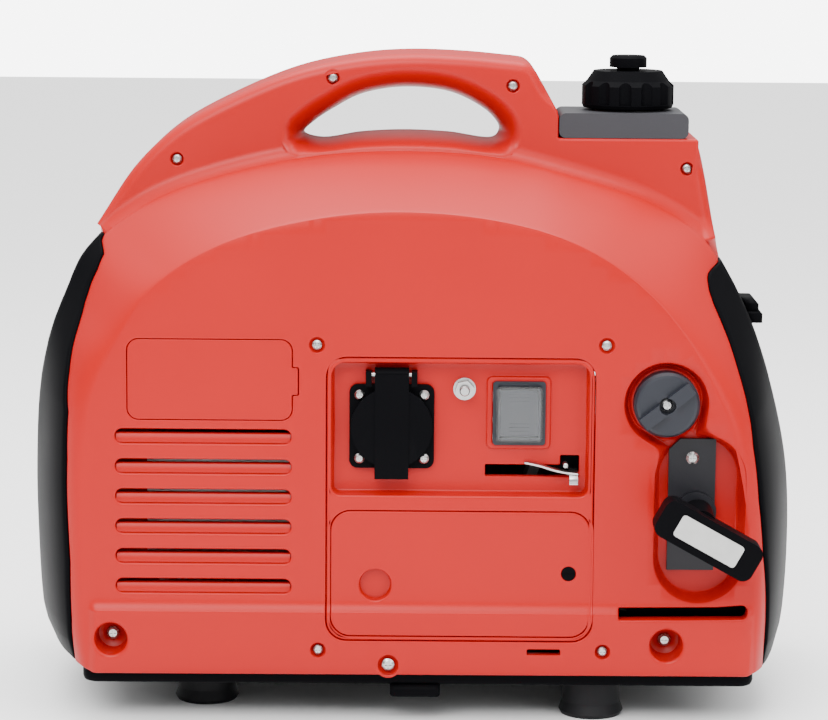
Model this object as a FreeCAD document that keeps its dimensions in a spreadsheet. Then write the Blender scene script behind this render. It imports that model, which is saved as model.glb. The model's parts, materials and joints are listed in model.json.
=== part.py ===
import FreeCAD, Part
import math
import os
import re
import Sketcher

# Portable inverter generator in millimetres. X runs to the right, Y to the rear, Z up.
# The machine is laid out about its own middle plane, and every finished piece is then moved back
# by shift_back, so that the whole assembly with its starter grip is centred on the origin.

os.makedirs("parts", exist_ok=True)
doc = FreeCAD.newDocument("Generator")
sheet = doc.addObject("Spreadsheet::Sheet", "Dims")

dims = {
    "shift_back": 17.65,
    "front_face": 108.0,
    "shoulder_depth": 45.0,
    "wall": 3.0,
    "skirt_height": 70.0,
    "skirt_low": 29.5,
    "skirt_proud": 3.0,
    "spine_half": 36.0,
    "tray_low": 24.0,
    "foot_radius": 19.0,
    "foot_height": 24.0,
    "foot_left_x": -126.0,
    "foot_right_x": 109.0,
    "foot_left_y": 45.0,
    "foot_right_y": 72.0,
    "cap_x": 129.7,
    "cap_radius": 28.1,
    "cap_low": 362.6,
    "flute_count": 13.0,
    "neck_radius": 20.0,
    "vent_radius": 11.4,
    "pad_low": 346.0,
    "pad_top": 361.0,
    "panel_left": -51.0,
    "panel_right": 106.5,
    "panel_low": 53.3,
    "panel_top": 222.5,
    "recess_depth": 9.0,
    "recess_left": -48.0,
    "recess_right": 103.0,
    "recess_low": 140.5,
    "recess_top": 219.5,
    "door_left": -48.5,
    "door_right": 105.0,
    "door_low": 56.0,
    "door_top": 131.0,
    "hatch_left": -168.0,
    "hatch_right": -71.4,
    "hatch_low": 185.0,
    "hatch_top": 232.5,
    "slot_left": -175.5,
    "slot_right": -71.9,
    "slot_height": 8.6,
    "slot_first": 84.9,
    "slot_pitch": 18.0,
    "slot_count": 6.0,
    "socket_x": -12.8,
    "socket_z": 180.7,
    "socket_flange": 50.0,
    "socket_screw_gap": 38.0,
    "socket_well": 19.5,
    "ground_x": 29.9,
    "ground_z": 203.2,
    "switch_x": 62.2,
    "switch_z": 189.2,
    "switch_width": 31.0,
    "switch_height": 38.0,
    "choke_z": 154.3,
    "knob_x": 148.5,
    "knob_z": 196.0,
    "knob_radius": 19.3,
    "knob_recess": 23.6,
    "knob_depth": 8.0,
    "pocket_x": 169.2,
    "pocket_z": 103.5,
    "pocket_radius": 25.7,
    "pocket_depth": 15.0,
    "bush_x": 167.8,
    "bush_z": 130.2,
    "crank_x": 120.0,
    "crank_y": 9.0,
    "crank_z": 128.0,
    "flywheel_radius": 54.0,
    "pulley_radius": 36.0,
    "screw_head": 3.6,
    "screw_shank": 2.0,
    "screw_hole": 2.1,
    "grip_x": 171.0,
    "grip_z": 123.0,
    "grip_length": 64.0,
    "grip_height": 23.0,
    "grip_front": 148.0,
    "grip_tilt": 29.0,
}
for row, (alias, value) in enumerate(dims.items(), 1):
    sheet.set("A%d" % row, alias)
    sheet.set("B%d" % row, str(value))
    sheet.setAlias("B%d" % row, alias)
doc.recompute()

V = FreeCAD.Vector
pieces = []
words = re.compile(r"[a-z][a-z_]*")
turned = {
    "z": FreeCAD.Rotation(),
    "y": FreeCAD.Rotation(V(1, 0, 0), 90),
    "x": FreeCAD.Rotation(V(0, 1, 0), 90),
}


def bound(value):
    # An expression with the sheet's name before each of its aliases.
    return words.sub(lambda m: "Dims." + m.group(0) if m.group(0) in dims else m.group(0), str(value))


def number(value):
    # The present value of an expression, for a sketch's first guess.
    text = words.sub(lambda m: "(%r)" % dims[m.group(0)], str(value))
    return FreeCAD.Units.Quantity(text).Value


def place(obj, x, y, z, turn=None):
    if turn is not None:
        obj.Placement = FreeCAD.Placement(V(0, 0, 0), turn)
    obj.setExpression("Placement.Base.x", bound(x))
    obj.setExpression("Placement.Base.y", bound(y))
    obj.setExpression("Placement.Base.z", bound(z))
    return obj


def box(x, y, z, length, width, height, turn=None):
    obj = doc.addObject("Part::Box", "Block")
    obj.setExpression("Length", bound(length))
    obj.setExpression("Width", bound(width))
    obj.setExpression("Height", bound(height))
    return place(obj, x, y, z, turn)


def rod(axis, x, y, z, radius, length):
    # A cylinder that starts at the point and runs along +Z, +X or, for "y", towards the front.
    obj = doc.addObject("Part::Cylinder", "Rod")
    obj.setExpression("Radius", bound(radius))
    obj.setExpression("Height", bound(length))
    return place(obj, x, y, z, turned[axis])


def slab(x0, x1, z0, z1, front, depth, corner):
    # A block seen from the front, with its four corners rounded.
    block = box(x0, "-(%s)" % front, z0, "%s-(%s)" % (x1, x0), depth, "%s-(%s)" % (z1, z0))
    block.recompute()
    obj = doc.addObject("Part::Fillet", "Slab")
    obj.Base = block
    radius = number(corner)
    rounded = []
    for count, edge in enumerate(block.Shape.Edges, 1):
        way = edge.tangentAt(edge.FirstParameter)
        if abs(way.y) > 0.9:
            rounded.append((count, radius, radius))
    obj.Edges = rounded
    return obj


def fuse(*parts):
    obj = doc.addObject("Part::MultiFuse", "Joined")
    obj.Shapes = list(parts)
    return obj


def cut(base, *tools):
    obj = doc.addObject("Part::Cut", "Trimmed")
    obj.Base = base
    obj.Tool = tools[0] if len(tools) == 1 else fuse(*tools)
    return obj


def common(base, tool):
    obj = doc.addObject("Part::Common", "Shared")
    obj.Base = base
    obj.Tool = tool
    return obj


def group(*parts):
    obj = doc.addObject("Part::Compound", "Group")
    obj.Links = list(parts)
    return obj


def swung(form, x, z, angle):
    # The form turned about a line along Y and carried to X and Z.
    obj = group(form)
    obj.Placement = FreeCAD.Placement(V(0, 0, 0), FreeCAD.Rotation(V(0, 1, 0), angle))
    obj.setExpression("Placement.Base.x", bound(x))
    obj.setExpression("Placement.Base.z", bound(z))
    return obj


def made(shape, name="Form"):
    obj = doc.addObject("Part::Feature", name)
    obj.Shape = shape
    return obj


def sketch_body(points):
    # A body with one closed sketch on its XZ plane, each corner held by the sheet.
    body = doc.addObject("PartDesign::Body", "Body")
    plane = [f for f in body.Origin.OriginFeatures if f.Role == "XZ_Plane"][0]
    sketch = body.newObject("Sketcher::SketchObject", "Profile")
    sketch.AttachmentSupport = [(plane, "")]
    sketch.MapMode = "FlatFace"
    spots = [(number(a), number(b)) for a, b in points]
    count = len(spots)
    for k in range(count):
        start, stop = spots[k], spots[(k + 1) % count]
        sketch.addGeometry(Part.LineSegment(V(start[0], start[1], 0), V(stop[0], stop[1], 0)), False)
    for k in range(count):
        sketch.addConstraint(Sketcher.Constraint("Coincident", k, 2, (k + 1) % count, 1))
    for k, (a, b) in enumerate(points):
        across = sketch.addConstraint(Sketcher.Constraint("DistanceX", -1, 1, k, 1, spots[k][0]))
        sketch.setExpression("Constraints[%d]" % across, bound(a))
        up = sketch.addConstraint(Sketcher.Constraint("DistanceY", -1, 1, k, 1, spots[k][1]))
        sketch.setExpression("Constraints[%d]" % up, bound(b))
    return body, sketch


def lathe(axis, x, y, z, points):
    # A turned piece: pairs of radius and distance along the axis.
    body, sketch = sketch_body(points)
    turning = body.newObject("PartDesign::Revolution", "Turning")
    turning.Profile = sketch
    turning.ReferenceAxis = (sketch, ["V_Axis"])
    turning.Angle = 360
    return place(body, x, y, z, turned[axis])


def plate(points, front, depth):
    # A flat piece with corners given in X and Z, its front face at Y = -front.
    body, sketch = sketch_body(points)
    sketch.setExpression("AttachmentOffset.Base.z", bound("%s-(%s)" % (front, depth)))
    pad = body.newObject("PartDesign::Pad", "Pad")
    pad.Profile = sketch
    pad.setExpression("Length", bound(depth))
    return body


def tube_run(points, radius):
    # A round run through the points, with a ball at every bend.
    shape = None
    for start, stop in zip(points, points[1:]):
        a, b = V(*start), V(*stop)
        leg = Part.makeCylinder(radius, (b - a).Length, a, b - a)
        shape = leg if shape is None else shape.fuse(leg)
    for spot in points[1:-1]:
        shape = shape.fuse(Part.makeSphere(radius, V(*spot)))
    return made(shape.removeSplitter())


def finish(label, obj):
    # Names a piece and moves it back into the centred frame.
    obj.Label = label
    base = obj.Placement.Base
    old = dict(obj.ExpressionEngine)
    held = old.get(".Placement.Base.y", old.get("Placement.Base.y", "%r" % base.y))
    obj.setExpression("Placement.Base.y", "%s + Dims.shift_back" % held)
    pieces.append(obj)
    return obj


# Housing outline. Guide points run up the left side, over the arch and down the right side.
# Each pairs the flat front face with the full outline where the shoulder meets the spine,
# and a share that says how far the place belongs to the round sides.
guides = [
    ((-190, 24), (-219, 24), 1.0),
    ((-193.5, 60), (-225, 60), 1.0),
    ((-195, 105), (-227.5, 105), 1.0),
    ((-194.5, 150), (-228, 150), 1.0),
    ((-190, 190), (-225.5, 195), 1.0),
    ((-182, 215), (-219, 227), 0.8),
    ((-172, 234), (-209.5, 252), 0.45),
    ((-158, 257), (-198, 276), 0.15),
    ((-143, 271), (-179.5, 293), 0.0),
    ((-124, 283), (-155, 309), 0.0),
    ((-96, 294.5), (-117, 323), 0.0),
    ((-52, 304.5), (-62, 335), 0.0),
    ((-10, 308), (-11, 338.5), 0.0),
    ((40, 304.5), (46, 335.5), 0.0),
    ((84, 294), (96, 323.5), 0.0),
    ((118, 276.5), (141, 308.5), 0.0),
    ((143, 255), (172, 289), 0.1),
    ((160, 233), (188, 266), 0.3),
    ((176, 205), (204, 233), 0.65),
    ((188, 175), (216, 196), 1.0),
    ((195.5, 135), (225.6, 150), 1.0),
    ((198.5, 85), (227.8, 92), 1.0),
    ((196, 24), (223, 24), 1.0),
]
face = number("front_face")
shoulder = number("shoulder_depth")
wall = number("wall")


def outline(depth, inset, low):
    # The housing's section at one depth, as a closed wire of a spline and a straight bottom.
    away = abs(depth)
    along = min(1.0, (face - away) / (face - shoulder))
    swell = 1.5 * (1 - (away / shoulder) ** 2) if away < shoulder else 0.0
    spots = []
    for near, far, side in guides:
        share = (1 - side) * along + side * math.sqrt(max(along, 0.0))
        x = near[0] + (far[0] - near[0]) * share
        z = near[1] + (far[1] - near[1]) * share
        x += math.copysign(swell * side, x)
        spots.append([x, z])
    if inset:
        moved = []
        for k, (x, z) in enumerate(spots):
            before = spots[max(k - 1, 0)]
            after = spots[min(k + 1, len(spots) - 1)]
            dx, dz = after[0] - before[0], after[1] - before[1]
            size = math.hypot(dx, dz)
            moved.append([x + inset * dz / size, z - inset * dx / size])
        spots = moved
    spots[0][1] = spots[-1][1] = low
    curve = Part.BSplineCurve()
    curve.interpolate([V(x, depth, z) for x, z in spots])
    first, last = V(spots[0][0], depth, low), V(spots[-1][0], depth, low)
    return Part.Wire([curve.toShape(), Part.makeLine(last, first)])


def hull(depths, inset, low, ruled=False):
    return Part.makeLoft([outline(d, inset, low) for d in depths], True, ruled)


frontDepths = [-face, -106.5, -103, -96, -84, -66, -shoulder]
innerDepths = [-face + wall, -103, -96, -84, -66, -shoulder]
low = number("skirt_low")
outerFront = hull(frontDepths, 0, low)
innerFront = hull(innerDepths, wall, low - 6)
middleOuter = hull([-shoulder, -20, 0, 20, shoulder], 0, low)
middleInner = hull([-shoulder, -20, 0, 20, shoulder], wall, low - 6)
rear = V(0, 1, 0)
outerRear = outerFront.mirror(V(0, 0, 0), rear)
innerRear = innerFront.mirror(V(0, 0, 0), rear)

# The lines where the red shells stop and the dark end covers begin, seen from the front.
leftLine = [(-201, 20), (-203, 62), (-203, 100), (-204, 160), (-202, 213), (-197, 240), (-189.5, 265),
            (-184.5, 283)]
rightLine = [(207, 20), (207.5, 66), (206, 106), (201, 170), (192, 213), (180.5, 245), (173, 263)]


def side_block(line, tip, reach, shift):
    curve = Part.BSplineCurve()
    curve.interpolate([V(x + shift, -130, z) for x, z in line])
    top = V(line[-1][0] + shift, -130, line[-1][1])
    spots = [top] + [V(x + shift, -130, z) for x, z in tip]
    spots += [V(reach, -130, tip[-1][1]), V(reach, -130, 20), V(line[0][0] + shift, -130, 20)]
    edges = [curve.toShape()] + [Part.makeLine(a, b) for a, b in zip(spots, spots[1:])]
    return Part.Face(Part.Wire(edges)).extrude(V(0, 260, 0))


leftTip = [(-184, 290), (-191, 292)]
rightTip = [(174, 270), (180, 275), (185, 276.5)]
leftSide = side_block(leftLine, leftTip, -260, 0)
rightSide = side_block(rightLine, rightTip, 260, 0)
leftKeep = side_block(leftLine, leftTip, -260, -0.15)
rightKeep = side_block(rightLine, rightTip, 260, 0.15)

frontSkin = outerFront.cut(innerFront).cut(leftSide).cut(rightSide)
rearSkin = outerRear.cut(innerRear).cut(leftSide).cut(rightSide)
middleSkin = middleOuter.cut(middleInner)
endSkins = []
for keep in (leftKeep, rightKeep):
    skins = (outerFront.cut(innerFront), middleSkin, outerRear.cut(innerRear))
    parts = [skin.common(keep) for skin in skins]
    endSkins.append(parts[0].fuse(parts[1:]).removeSplitter())

# Front shell: the skin, its proud skirt, the knob recess and the starter pocket, with every opening.
faceY = "front_face"
skirt = slab(-187, 200, "skirt_low", "skirt_height", "front_face+skirt_proud", "skirt_proud+2", 3)
knobCup = rod("y", "knob_x", "-(front_face-knob_depth-2.5)", "knob_z", "knob_recess+2.5", "knob_depth+1")
pocketCup = slab("pocket_x-pocket_radius-2.5", "pocket_x+pocket_radius+2.5", "pocket_z-pocket_radius-2.5",
                 180, "front_face-1", "pocket_depth+1.5", "pocket_radius")
deepSpots = [(-178.7, 52.8), (151, 51.2)]
deepCups = [rod("y", x, "-(front_face-16.5)", z, 11.6, "19.4") for x, z in deepSpots]
shellBody = fuse(made(frontSkin, "FrontSkin"), skirt, knobCup, pocketCup, *deepCups)

knobWell = rod("y", "knob_x", "-(front_face-knob_depth)", "knob_z", "knob_recess", "knob_depth+6")
pocketWell = slab("pocket_x-pocket_radius", "pocket_x+pocket_radius", "pocket_z-pocket_radius",
                  177, "front_face+6", "pocket_depth+6", "pocket_radius-0.1")
panelHole = slab("panel_left-0.3", "panel_right+0.3", "panel_low-0.3", "panel_top+0.3", "front_face+8",
                 14, 12)
hatchHole = slab("hatch_left-0.5", "hatch_right+0.5", "hatch_low-0.5", "hatch_top+0.5", "front_face+2", 8, 7)
hatchNotch = box("hatch_right-1", "-(front_face+2)", 199.5, 5, 8, 17)
slots = []
blades = []
for k in range(int(number("slot_count"))):
    z = "slot_first+slot_pitch*%d" % k
    slots.append(slab("slot_left", "slot_right", "%s-slot_height/2" % z, "%s+slot_height/2" % z,
                      "front_face+2", 8, "slot_height/2-0.05"))
    blade = box("slot_left+2", "-(front_face-1.2)", "%s-slot_height/2-0.6" % z,
                "slot_right-slot_left-4", 11, 1.6, FreeCAD.Rotation(V(1, 0, 0), 38))
    blades.append(blade)
ventSlot = box(122.4, "-(front_face+8)", 66.6, 77.4, 14, 7.4)
smallSlot = box(68.3, "-(front_face+8)", 45, 19.7, 14, 3.5)
screwPits = []
for x, z in [(-56.8, 229.8), (112.8, 230.6)]:
    screwPits.append(rod("y", x, "-(front_face-1.5)", z, 4.4, 6))
    screwPits.append(rod("y", x, "-(front_face-8)", z, "screw_hole", 10))
for x, z in [(-55.7, 47.1), (113.1, 47.2), (-14, 38.2)]:
    screwPits.append(rod("y", x, "-(front_face+0.5)", z, 4.4 if x != -14 else 5.9, 8))
    screwPits.append(rod("y", x, "-(front_face-8)", z, "screw_hole", 12))
for x, z in deepSpots:
    screwPits.append(rod("y", x, "-(front_face-14)", z, 9.6, 24))
    screwPits.append(rod("y", x, "-(front_face-20)", z, "screw_hole", 10))
cockHole = rod("y", "knob_x", "-(front_face-20)", "knob_z", 8.2, 20)
ropeHole = rod("y", "bush_x", "-(front_face-24)", "bush_z", 9, 20)
plateHole = rod("y", 165.3, "-(front_face-24)", 162.3, "screw_hole", 20)
frontShell = cut(fuse(cut(shellBody, *slots), *blades), knobWell, pocketWell, panelHole, hatchHole,
                 hatchNotch, ventSlot, smallSlot, cockHole, ropeHole, plateHole, *screwPits)
finish("front_shell", frontShell)

# Rear shell: the same skin turned round, with a cooling grille and an exhaust outlet.
rearCuts = [rod("y", -118, "front_face+8", 112, 13, 16)]
for k in range(8):
    rearCuts.append(slab(20, 150, "90+%d*14" % k, "97+%d*14" % k, "-(front_face-8)", 14, 3.4))
for x, z in [(-170, 50), (160, 50), (-170, 225), (165, 215)]:
    rearCuts.append(rod("y", x, "front_face+6", z, "screw_hole", 16))
rearSkirt = slab(-187, 200, "skirt_low", "skirt_height", "-(front_face-2)", "skirt_proud+2", 3)
finish("rear_shell", cut(fuse(made(rearSkin, "RearSkin"), rearSkirt), *rearCuts))

# End covers, with a small hood over the vent at the upper right.
finish("left_end_cover", made(endSkins[0], "LeftSkin"))
hood = fuse(box(200, -26, 233, 13, 52, 6.5), box(203, -22, 236, 8, 44, 9))
finish("right_end_cover", fuse(made(endSkins[1], "RightSkin"), hood))

# Spine: the silhouette of handle and tower, hollow, with the hand opening through it.
handleLine = [(-192.5, 292.2), (-169, 327.5), (-145, 350), (-108, 370.5), (-71, 385.5), (-35, 393.2),
              (-5, 395.7), (30, 394.8), (60, 392.2)]
towerLine = [(70, 388), (77, 377), (86, 361), (86, 346), (168.5, 346), (170.5, 340), (174, 329),
             (179, 304), (182.5, 284), (184.8, 276.8)]
crest = [(x, z - 1.0) for _, (x, z), _ in guides[7:18]][::-1]
holeLine = [(-68.5, 346), (-62, 353), (-50, 361), (-34.5, 369.2), (-16, 373.4), (2, 374), (20.5, 371.4),
            (35.5, 365), (46.5, 357), (51, 349.5), (47.5, 343.5), (20, 346.2), (-7, 347.3), (-34, 345.8),
            (-58, 342.2)]


def flat_spline(spots, depth):
    curve = Part.BSplineCurve()
    curve.interpolate([V(x, depth, z) for x, z in spots])
    return curve.toShape()


def spine_block(half, inset):
    # The handle and tower outline drawn in by the inset, closed along the arch, and pulled through.
    outer = [(x * (1 - inset / 190.0), z - inset) for x, z in handleLine]
    tower = [(x - inset if x > 100 else x + inset, z - (inset if z > 340 else 0)) for x, z in towerLine]
    edges = [flat_spline(outer, -half)]
    corners = [outer[-1]] + tower
    edges += [Part.makeLine(V(a[0], -half, a[1]), V(b[0], -half, b[1])) for a, b in zip(corners, corners[1:])]
    base = [(x, z + inset) for x, z in crest]
    base = [spot for spot in base if outer[0][0] < spot[0] < tower[-1][0]]
    edges.append(Part.makeLine(V(tower[-1][0], -half, tower[-1][1]), V(base[0][0], -half, base[0][1])))
    edges.append(flat_spline(base, -half))
    edges.append(Part.makeLine(V(base[-1][0], -half, base[-1][1]), V(outer[0][0], -half, outer[0][1])))
    return Part.Face(Part.Wire(edges)).extrude(V(0, 2 * half, 0))


def hole_block(half, grow):
    middle = (-9.0, 358.0)
    spots = []
    for x, z in holeLine:
        away = math.hypot(x - middle[0], z - middle[1])
        spots.append(V(x + grow * (x - middle[0]) / away, -half, z + grow * (z - middle[1]) / away))
    curve = Part.BSplineCurve()
    curve.interpolate(spots, True)
    return Part.Face(Part.Wire([curve.toShape()])).extrude(V(0, 2 * half, 0))


half = number("spine_half")
spineOuter = spine_block(half, 0)
spineInner = spine_block(half - wall, wall + 0.5).cut(hole_block(half, 3.5))
band = middleSkin.common(Part.makeBox(500, 2 * shoulder - 0.2, 200, V(-250, -shoulder + 0.1, 250)))
spineWhole = spineOuter.cut(spineInner).fuse(band).cut(leftSide).cut(rightSide).cut(hole_block(60, 0))
spineWhole = made(spineWhole, "SpineWhole")
neckHole = rod("z", "cap_x", 0, 280, "neck_radius+2.5", 80)
spineScrews = [(-143.9, 331.6), (-50, 381.1), (58.2, 377.1), (163.8, 328)]
spinePits = []
for x, z in spineScrews:
    spinePits.append(rod("y", x, "-(spine_half-2)", z, 3.9, 6))
    spinePits.append(rod("y", x, "-(spine_half-10)", z, "screw_hole", 12))
spineCut = cut(spineWhole, neckHole, *spinePits)
finish("spine_front_half", common(spineCut, box(-250, -60, 230, 500, 60, 200)))
finish("spine_rear_half", common(spineCut, box(-250, 0.05, 230, 500, 60, 200)))

# Base tray with its middle block, and four rubber feet.


def tray_plan(inset, bottom, height):
    # The housing's footprint, drawn in and pulled up.
    left, right = guides[0], guides[-1]
    depths = [-face, -106.5, -103, -96, -84, -66, -45, -20, 0, 20, 45, 66, 84, 96, 103, 106.5, face]
    sides = []
    for near, far, _ in (left, right):
        row = []
        for depth in depths:
            share = math.sqrt(min(1.0, (face - abs(depth)) / (face - shoulder)))
            x = near[0] + (far[0] - near[0]) * share
            y = depth * (face - inset) / face
            row.append(V(x - math.copysign(inset, x), y, bottom))
        sides.append(row)
    ring = sides[0] + sides[1][::-1]
    return made(Part.Face(Part.makePolygon(ring + ring[:1])).extrude(V(0, 0, height)), "Footprint")


trayFloor = tray_plan(1.5, number("tray_low"), 5.3)
trayRim = cut(tray_plan(4.5, number("tray_low") + 2, 8), tray_plan(7, number("tray_low") + 3, 8))
trayBlock = slab(-13, 17, 16.5, "tray_low+1", 103, 40, 2)
trayCuts = []
feet = [("foot_left_x", "-foot_left_y"), ("foot_right_x", "-foot_right_y"),
        ("foot_left_x", "foot_left_y+15"), ("foot_right_x", "foot_right_y")]
for x, y in feet:
    trayCuts.append(rod("z", x, y, 20, 3.1, 20))
trayHollow = tray_plan(7, number("tray_low") + 3, 8)
finish("base_tray", cut(fuse(cut(trayFloor, trayHollow), trayRim, trayBlock), *trayCuts))
footForms = []
for x, y in feet:
    footForms.append(lathe("z", x, y, 0, [
        (0, 5), (5.5, 5), (5.5, 0), ("foot_radius-1", 0), ("foot_radius+0.5", 2.5), ("foot_radius-1.5", 8),
        ("foot_radius-2", "foot_height-0.05"), (3, "foot_height-0.05"), (3, 30), (0, 30)]))
finish("rubber_feet", group(*footForms))

# Control panel: a plate let into the front shell, with a recess for the controls and a door seat.
panelPlate = slab("panel_left", "panel_right", "panel_low", "panel_top", faceY, 3, 12)
panelTub = slab("recess_left-0.5", "recess_right+0.5", "recess_low-2.5", "recess_top+2", "front_face-1",
                "recess_depth+2", 6)
panelSkirt = box("panel_left+0.5", "-(front_face+skirt_proud)", "panel_low+12", "panel_right-panel_left-1", 5,
                 "skirt_height-panel_low-12")
switchFrame = slab("switch_x-19", "switch_x+18.5", "switch_z-21.5", "switch_z+21.5",
                   "front_face-recess_depth+2.5", 4, 3)
doorBack = slab("door_left+2", "door_right-2", 76, "door_top-2", "front_face-2", 4, 8)
recess = slab("recess_left", "recess_right", "recess_low", "recess_top", "front_face+4", "recess_depth+4", 5)
panelCuts = [
    slab("door_left-0.3", "door_right+0.3", "door_low-0.3", "door_top+0.3", "front_face+5", 7, 12),
    rod("y", "socket_x", "-(front_face-20)", "socket_z", 22.3, 15),
    rod("y", "ground_x", "-(front_face-20)", "ground_z", 3.1, 15),
    box("switch_x-15", "-(front_face-4)", "switch_z-18.5", 30, 12, 37),
    box(42.5, "-(front_face-4)", 150.8, 55.6, 12, 7.1),
    box(86.9, "-(front_face-4)", 157.8, 11.2, 12, 5.9),
    rod("y", 92.4, "-(front_face-12)", 93.9, 2.6, 12),
    rod("y", -22, "-(front_face-7)", 86.3, 9.4, 12),
]
for x in ("socket_x-socket_screw_gap/2", "socket_x+socket_screw_gap/2"):
    for z in ("socket_z-socket_screw_gap/2", "socket_z+socket_screw_gap/2"):
        panelCuts.append(rod("y", x, "-(front_face-20)", z, 1.6, 15))
doorCup = rod("y", -22, "-(front_face-9)", 86.3, 11.4, 6)
panelSolid = cut(fuse(panelPlate, panelTub, panelSkirt, doorBack, doorCup), recess)
finish("control_panel", cut(fuse(panelSolid, switchFrame), *panelCuts))

# Service door with its captive screw, and the access hatch with a latch tab.
doorPlate = slab("door_left", "door_right", "door_low", "door_top", faceY, 1.8, 12)
doorSkirt = box("door_left+1", "-(front_face+skirt_proud)", "door_low+12", "door_right-door_left-2", 4,
                "skirt_height-door_low-12")
finish("service_door", cut(fuse(doorPlate, doorSkirt), rod("y", -22, "-(front_face-6)", 86.3, 9.4, 12),
                           rod("y", 92.4, "-(front_face-12)", 93.9, 2.15, 20),
                           rod("y", 92.4, "-(front_face-1)", 93.9, 4.35, 20)))
doorStud = lathe("y", 92.4, "-(front_face-13)", 93.9, [
    (0, 0), (2.05, 0), (2.05, 12.05), (4.2, 12.05), (4.2, 12.9), (0, 12.9)])
finish("door_screw", cut(doorStud, box(88.7, "-(front_face+1)", 93.3, 7.4, 1.4, 1.2)))
hatchPlate = slab("hatch_left", "hatch_right", "hatch_low", "hatch_top", faceY, 2, 6.6)
hatchTab = box("hatch_right-1", "-front_face", 200, 4.4, 2, 16)
hatchClip = box("hatch_right-8", "-(front_face-1.5)", 201, 4, 7, 14)
finish("access_hatch", fuse(hatchPlate, hatchTab, hatchClip))

# Grey pad on the tower, fuel tank with its neck, cap, gasket and vent knob.
padForm = slab(86.5, 164.5, "pad_low+0.1", "pad_top", "spine_half-1", 58, 4)
finish("cap_pad", cut(padForm, rod("z", "cap_x", 0, 340, "neck_radius+2.5", 30)))
tankHull = hull([-60, -shoulder, -20, 0, 20, shoulder, 60], 9, 60)
tankForm = common(made(tankHull, "TankHull"), slab(22, 176, 240, 318, 52, 104, 10))
tankNeck = rod("z", "cap_x", 0, 300, "neck_radius", 72)
tankWell = common(made(hull([-57, -shoulder, -20, 0, 20, shoulder, 57], 11, 60), "TankWell"),
                  slab(24, 174, 242, 316, 50, 100, 9))
finish("fuel_tank", cut(fuse(tankForm, tankNeck), tankWell, rod("z", "cap_x", 0, 290, "neck_radius-3", 90),
                        rod("z", 60, -20, 230, 3.6, 30)))
finish("fuel_strainer", lathe("z", "cap_x", 0, 0, [
    (0, 322), ("neck_radius-4.5", 322), ("neck_radius-3.6", 372), ("neck_radius-0.5", 372),
    ("neck_radius-0.5", 373), ("neck_radius-5", 373), ("neck_radius-6", 323.5), (0, 323.5)]))
finish("cap_gasket", lathe("z", "cap_x", 0, 0, [
    ("neck_radius-6", 373.1), ("neck_radius", 373.1), ("neck_radius", 375), ("neck_radius-6", 375)]))
capForm = lathe("z", "cap_x", 0, 0, [
    ("neck_radius+0.4", "cap_low-1.2"), ("neck_radius+2", "cap_low-1.2"), ("cap_radius-1", "cap_low"),
    ("cap_radius", "cap_low+2"), ("cap_radius", "cap_low+13.5"), ("cap_radius-3", "cap_low+16.5"),
    (21, "cap_low+22.4"), (3.05, "cap_low+22.4"), (3.05, "cap_low+16"), (0, "cap_low+16"),
    (0, "cap_low+12.5"), ("neck_radius+0.4", "cap_low+12.5")])
flutes = []
for k in range(int(number("flute_count"))):
    turn = 2 * math.pi * (k + 0.5) / number("flute_count")
    flutes.append(rod("z", "cap_x+(cap_radius+1.6)*%.6f" % math.cos(turn),
                      "(cap_radius+1.6)*%.6f" % math.sin(turn), 365, 4.2, 20))
finish("fuel_cap", cut(capForm, *flutes))
finish("vent_knob", lathe("z", "cap_x", 0, 0, [
    (0, 379), (3, 379), (3, 385.1), (7, 385.1), (7, 387), ("vent_radius", 387), ("vent_radius", 392.6),
    ("vent_radius-1.6", 394.2), (0, 394.2)]))

# Panel socket, its lid on a sprung pin, contacts and screws.
floorY = "front_face-recess_depth"
lugs = []
for x in ("socket_x-15.4", "socket_x+11.5"):
    lug = box(x, "-(%s+8.2)" % floorY, "socket_z+24.5", 3.4, 8.2, 9)
    lugs.append(lug)
socketForm = fuse(
    slab("socket_x-socket_flange/2", "socket_x+socket_flange/2", "socket_z-socket_flange/2",
         "socket_z+socket_flange/2", "%s+3" % floorY, 3, 5),
    rod("y", "socket_x", "-(%s-30)" % floorY, "socket_z", 22, 31),
    rod("y", "socket_x", "-(%s+2)" % floorY, "socket_z", 23, 2.8), *lugs)
socketCuts = [
    rod("y", "socket_x", "-(%s-14)" % floorY, "socket_z", "socket_well", 30),
    rod("y", "socket_x-9.5", "-(%s-29)" % floorY, "socket_z", 3.3, 20),
    rod("y", "socket_x+9.5", "-(%s-29)" % floorY, "socket_z", 3.3, 20),
    rod("x", "socket_x-20", "-(%s+4.4)" % floorY, "socket_z+31.3", 1.55, 40),
]
for x in ("socket_x-socket_screw_gap/2", "socket_x+socket_screw_gap/2"):
    for z in ("socket_z-socket_screw_gap/2", "socket_z+socket_screw_gap/2"):
        socketCuts.append(rod("y", x, "-(%s-20)" % floorY, z, 1.6, 30))
finish("socket_body", cut(socketForm, *socketCuts))
sleeves = []
for side in ("-", "+"):
    sleeve = lathe("y", "socket_x%s9.5" % side, "-(%s-29)" % floorY, "socket_z",
                   [(2.4, 2), (3.2, 2), (3.2, 14.6), (2.4, 14.6)])
    sleeves.append(sleeve)
for z in ("socket_z+16.6", "socket_z-18.6"):
    sleeves.append(box("socket_x-3", "-(%s+1)" % floorY, z, 6, 14.5, 2))
finish("socket_contacts", group(*sleeves))
lidForm = fuse(
    rod("y", "socket_x", "-(%s+5.2)" % floorY, "socket_z", 24, 3.6),
    box("socket_x-10", "-(%s+9.4)" % floorY, "socket_z-30.5", 20, 4.2, 58),
    box("socket_x-10", "-(%s+9.4)" % floorY, "socket_z+26", 20, 4.4, 5),
    rod("x", "socket_x-10", "-(%s+4.4)" % floorY, "socket_z+31.3", 4.2, 20),
    box("socket_x-10", "-(%s+9.4)" % floorY, "socket_z+28", 20, 4.6, 4))
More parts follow.
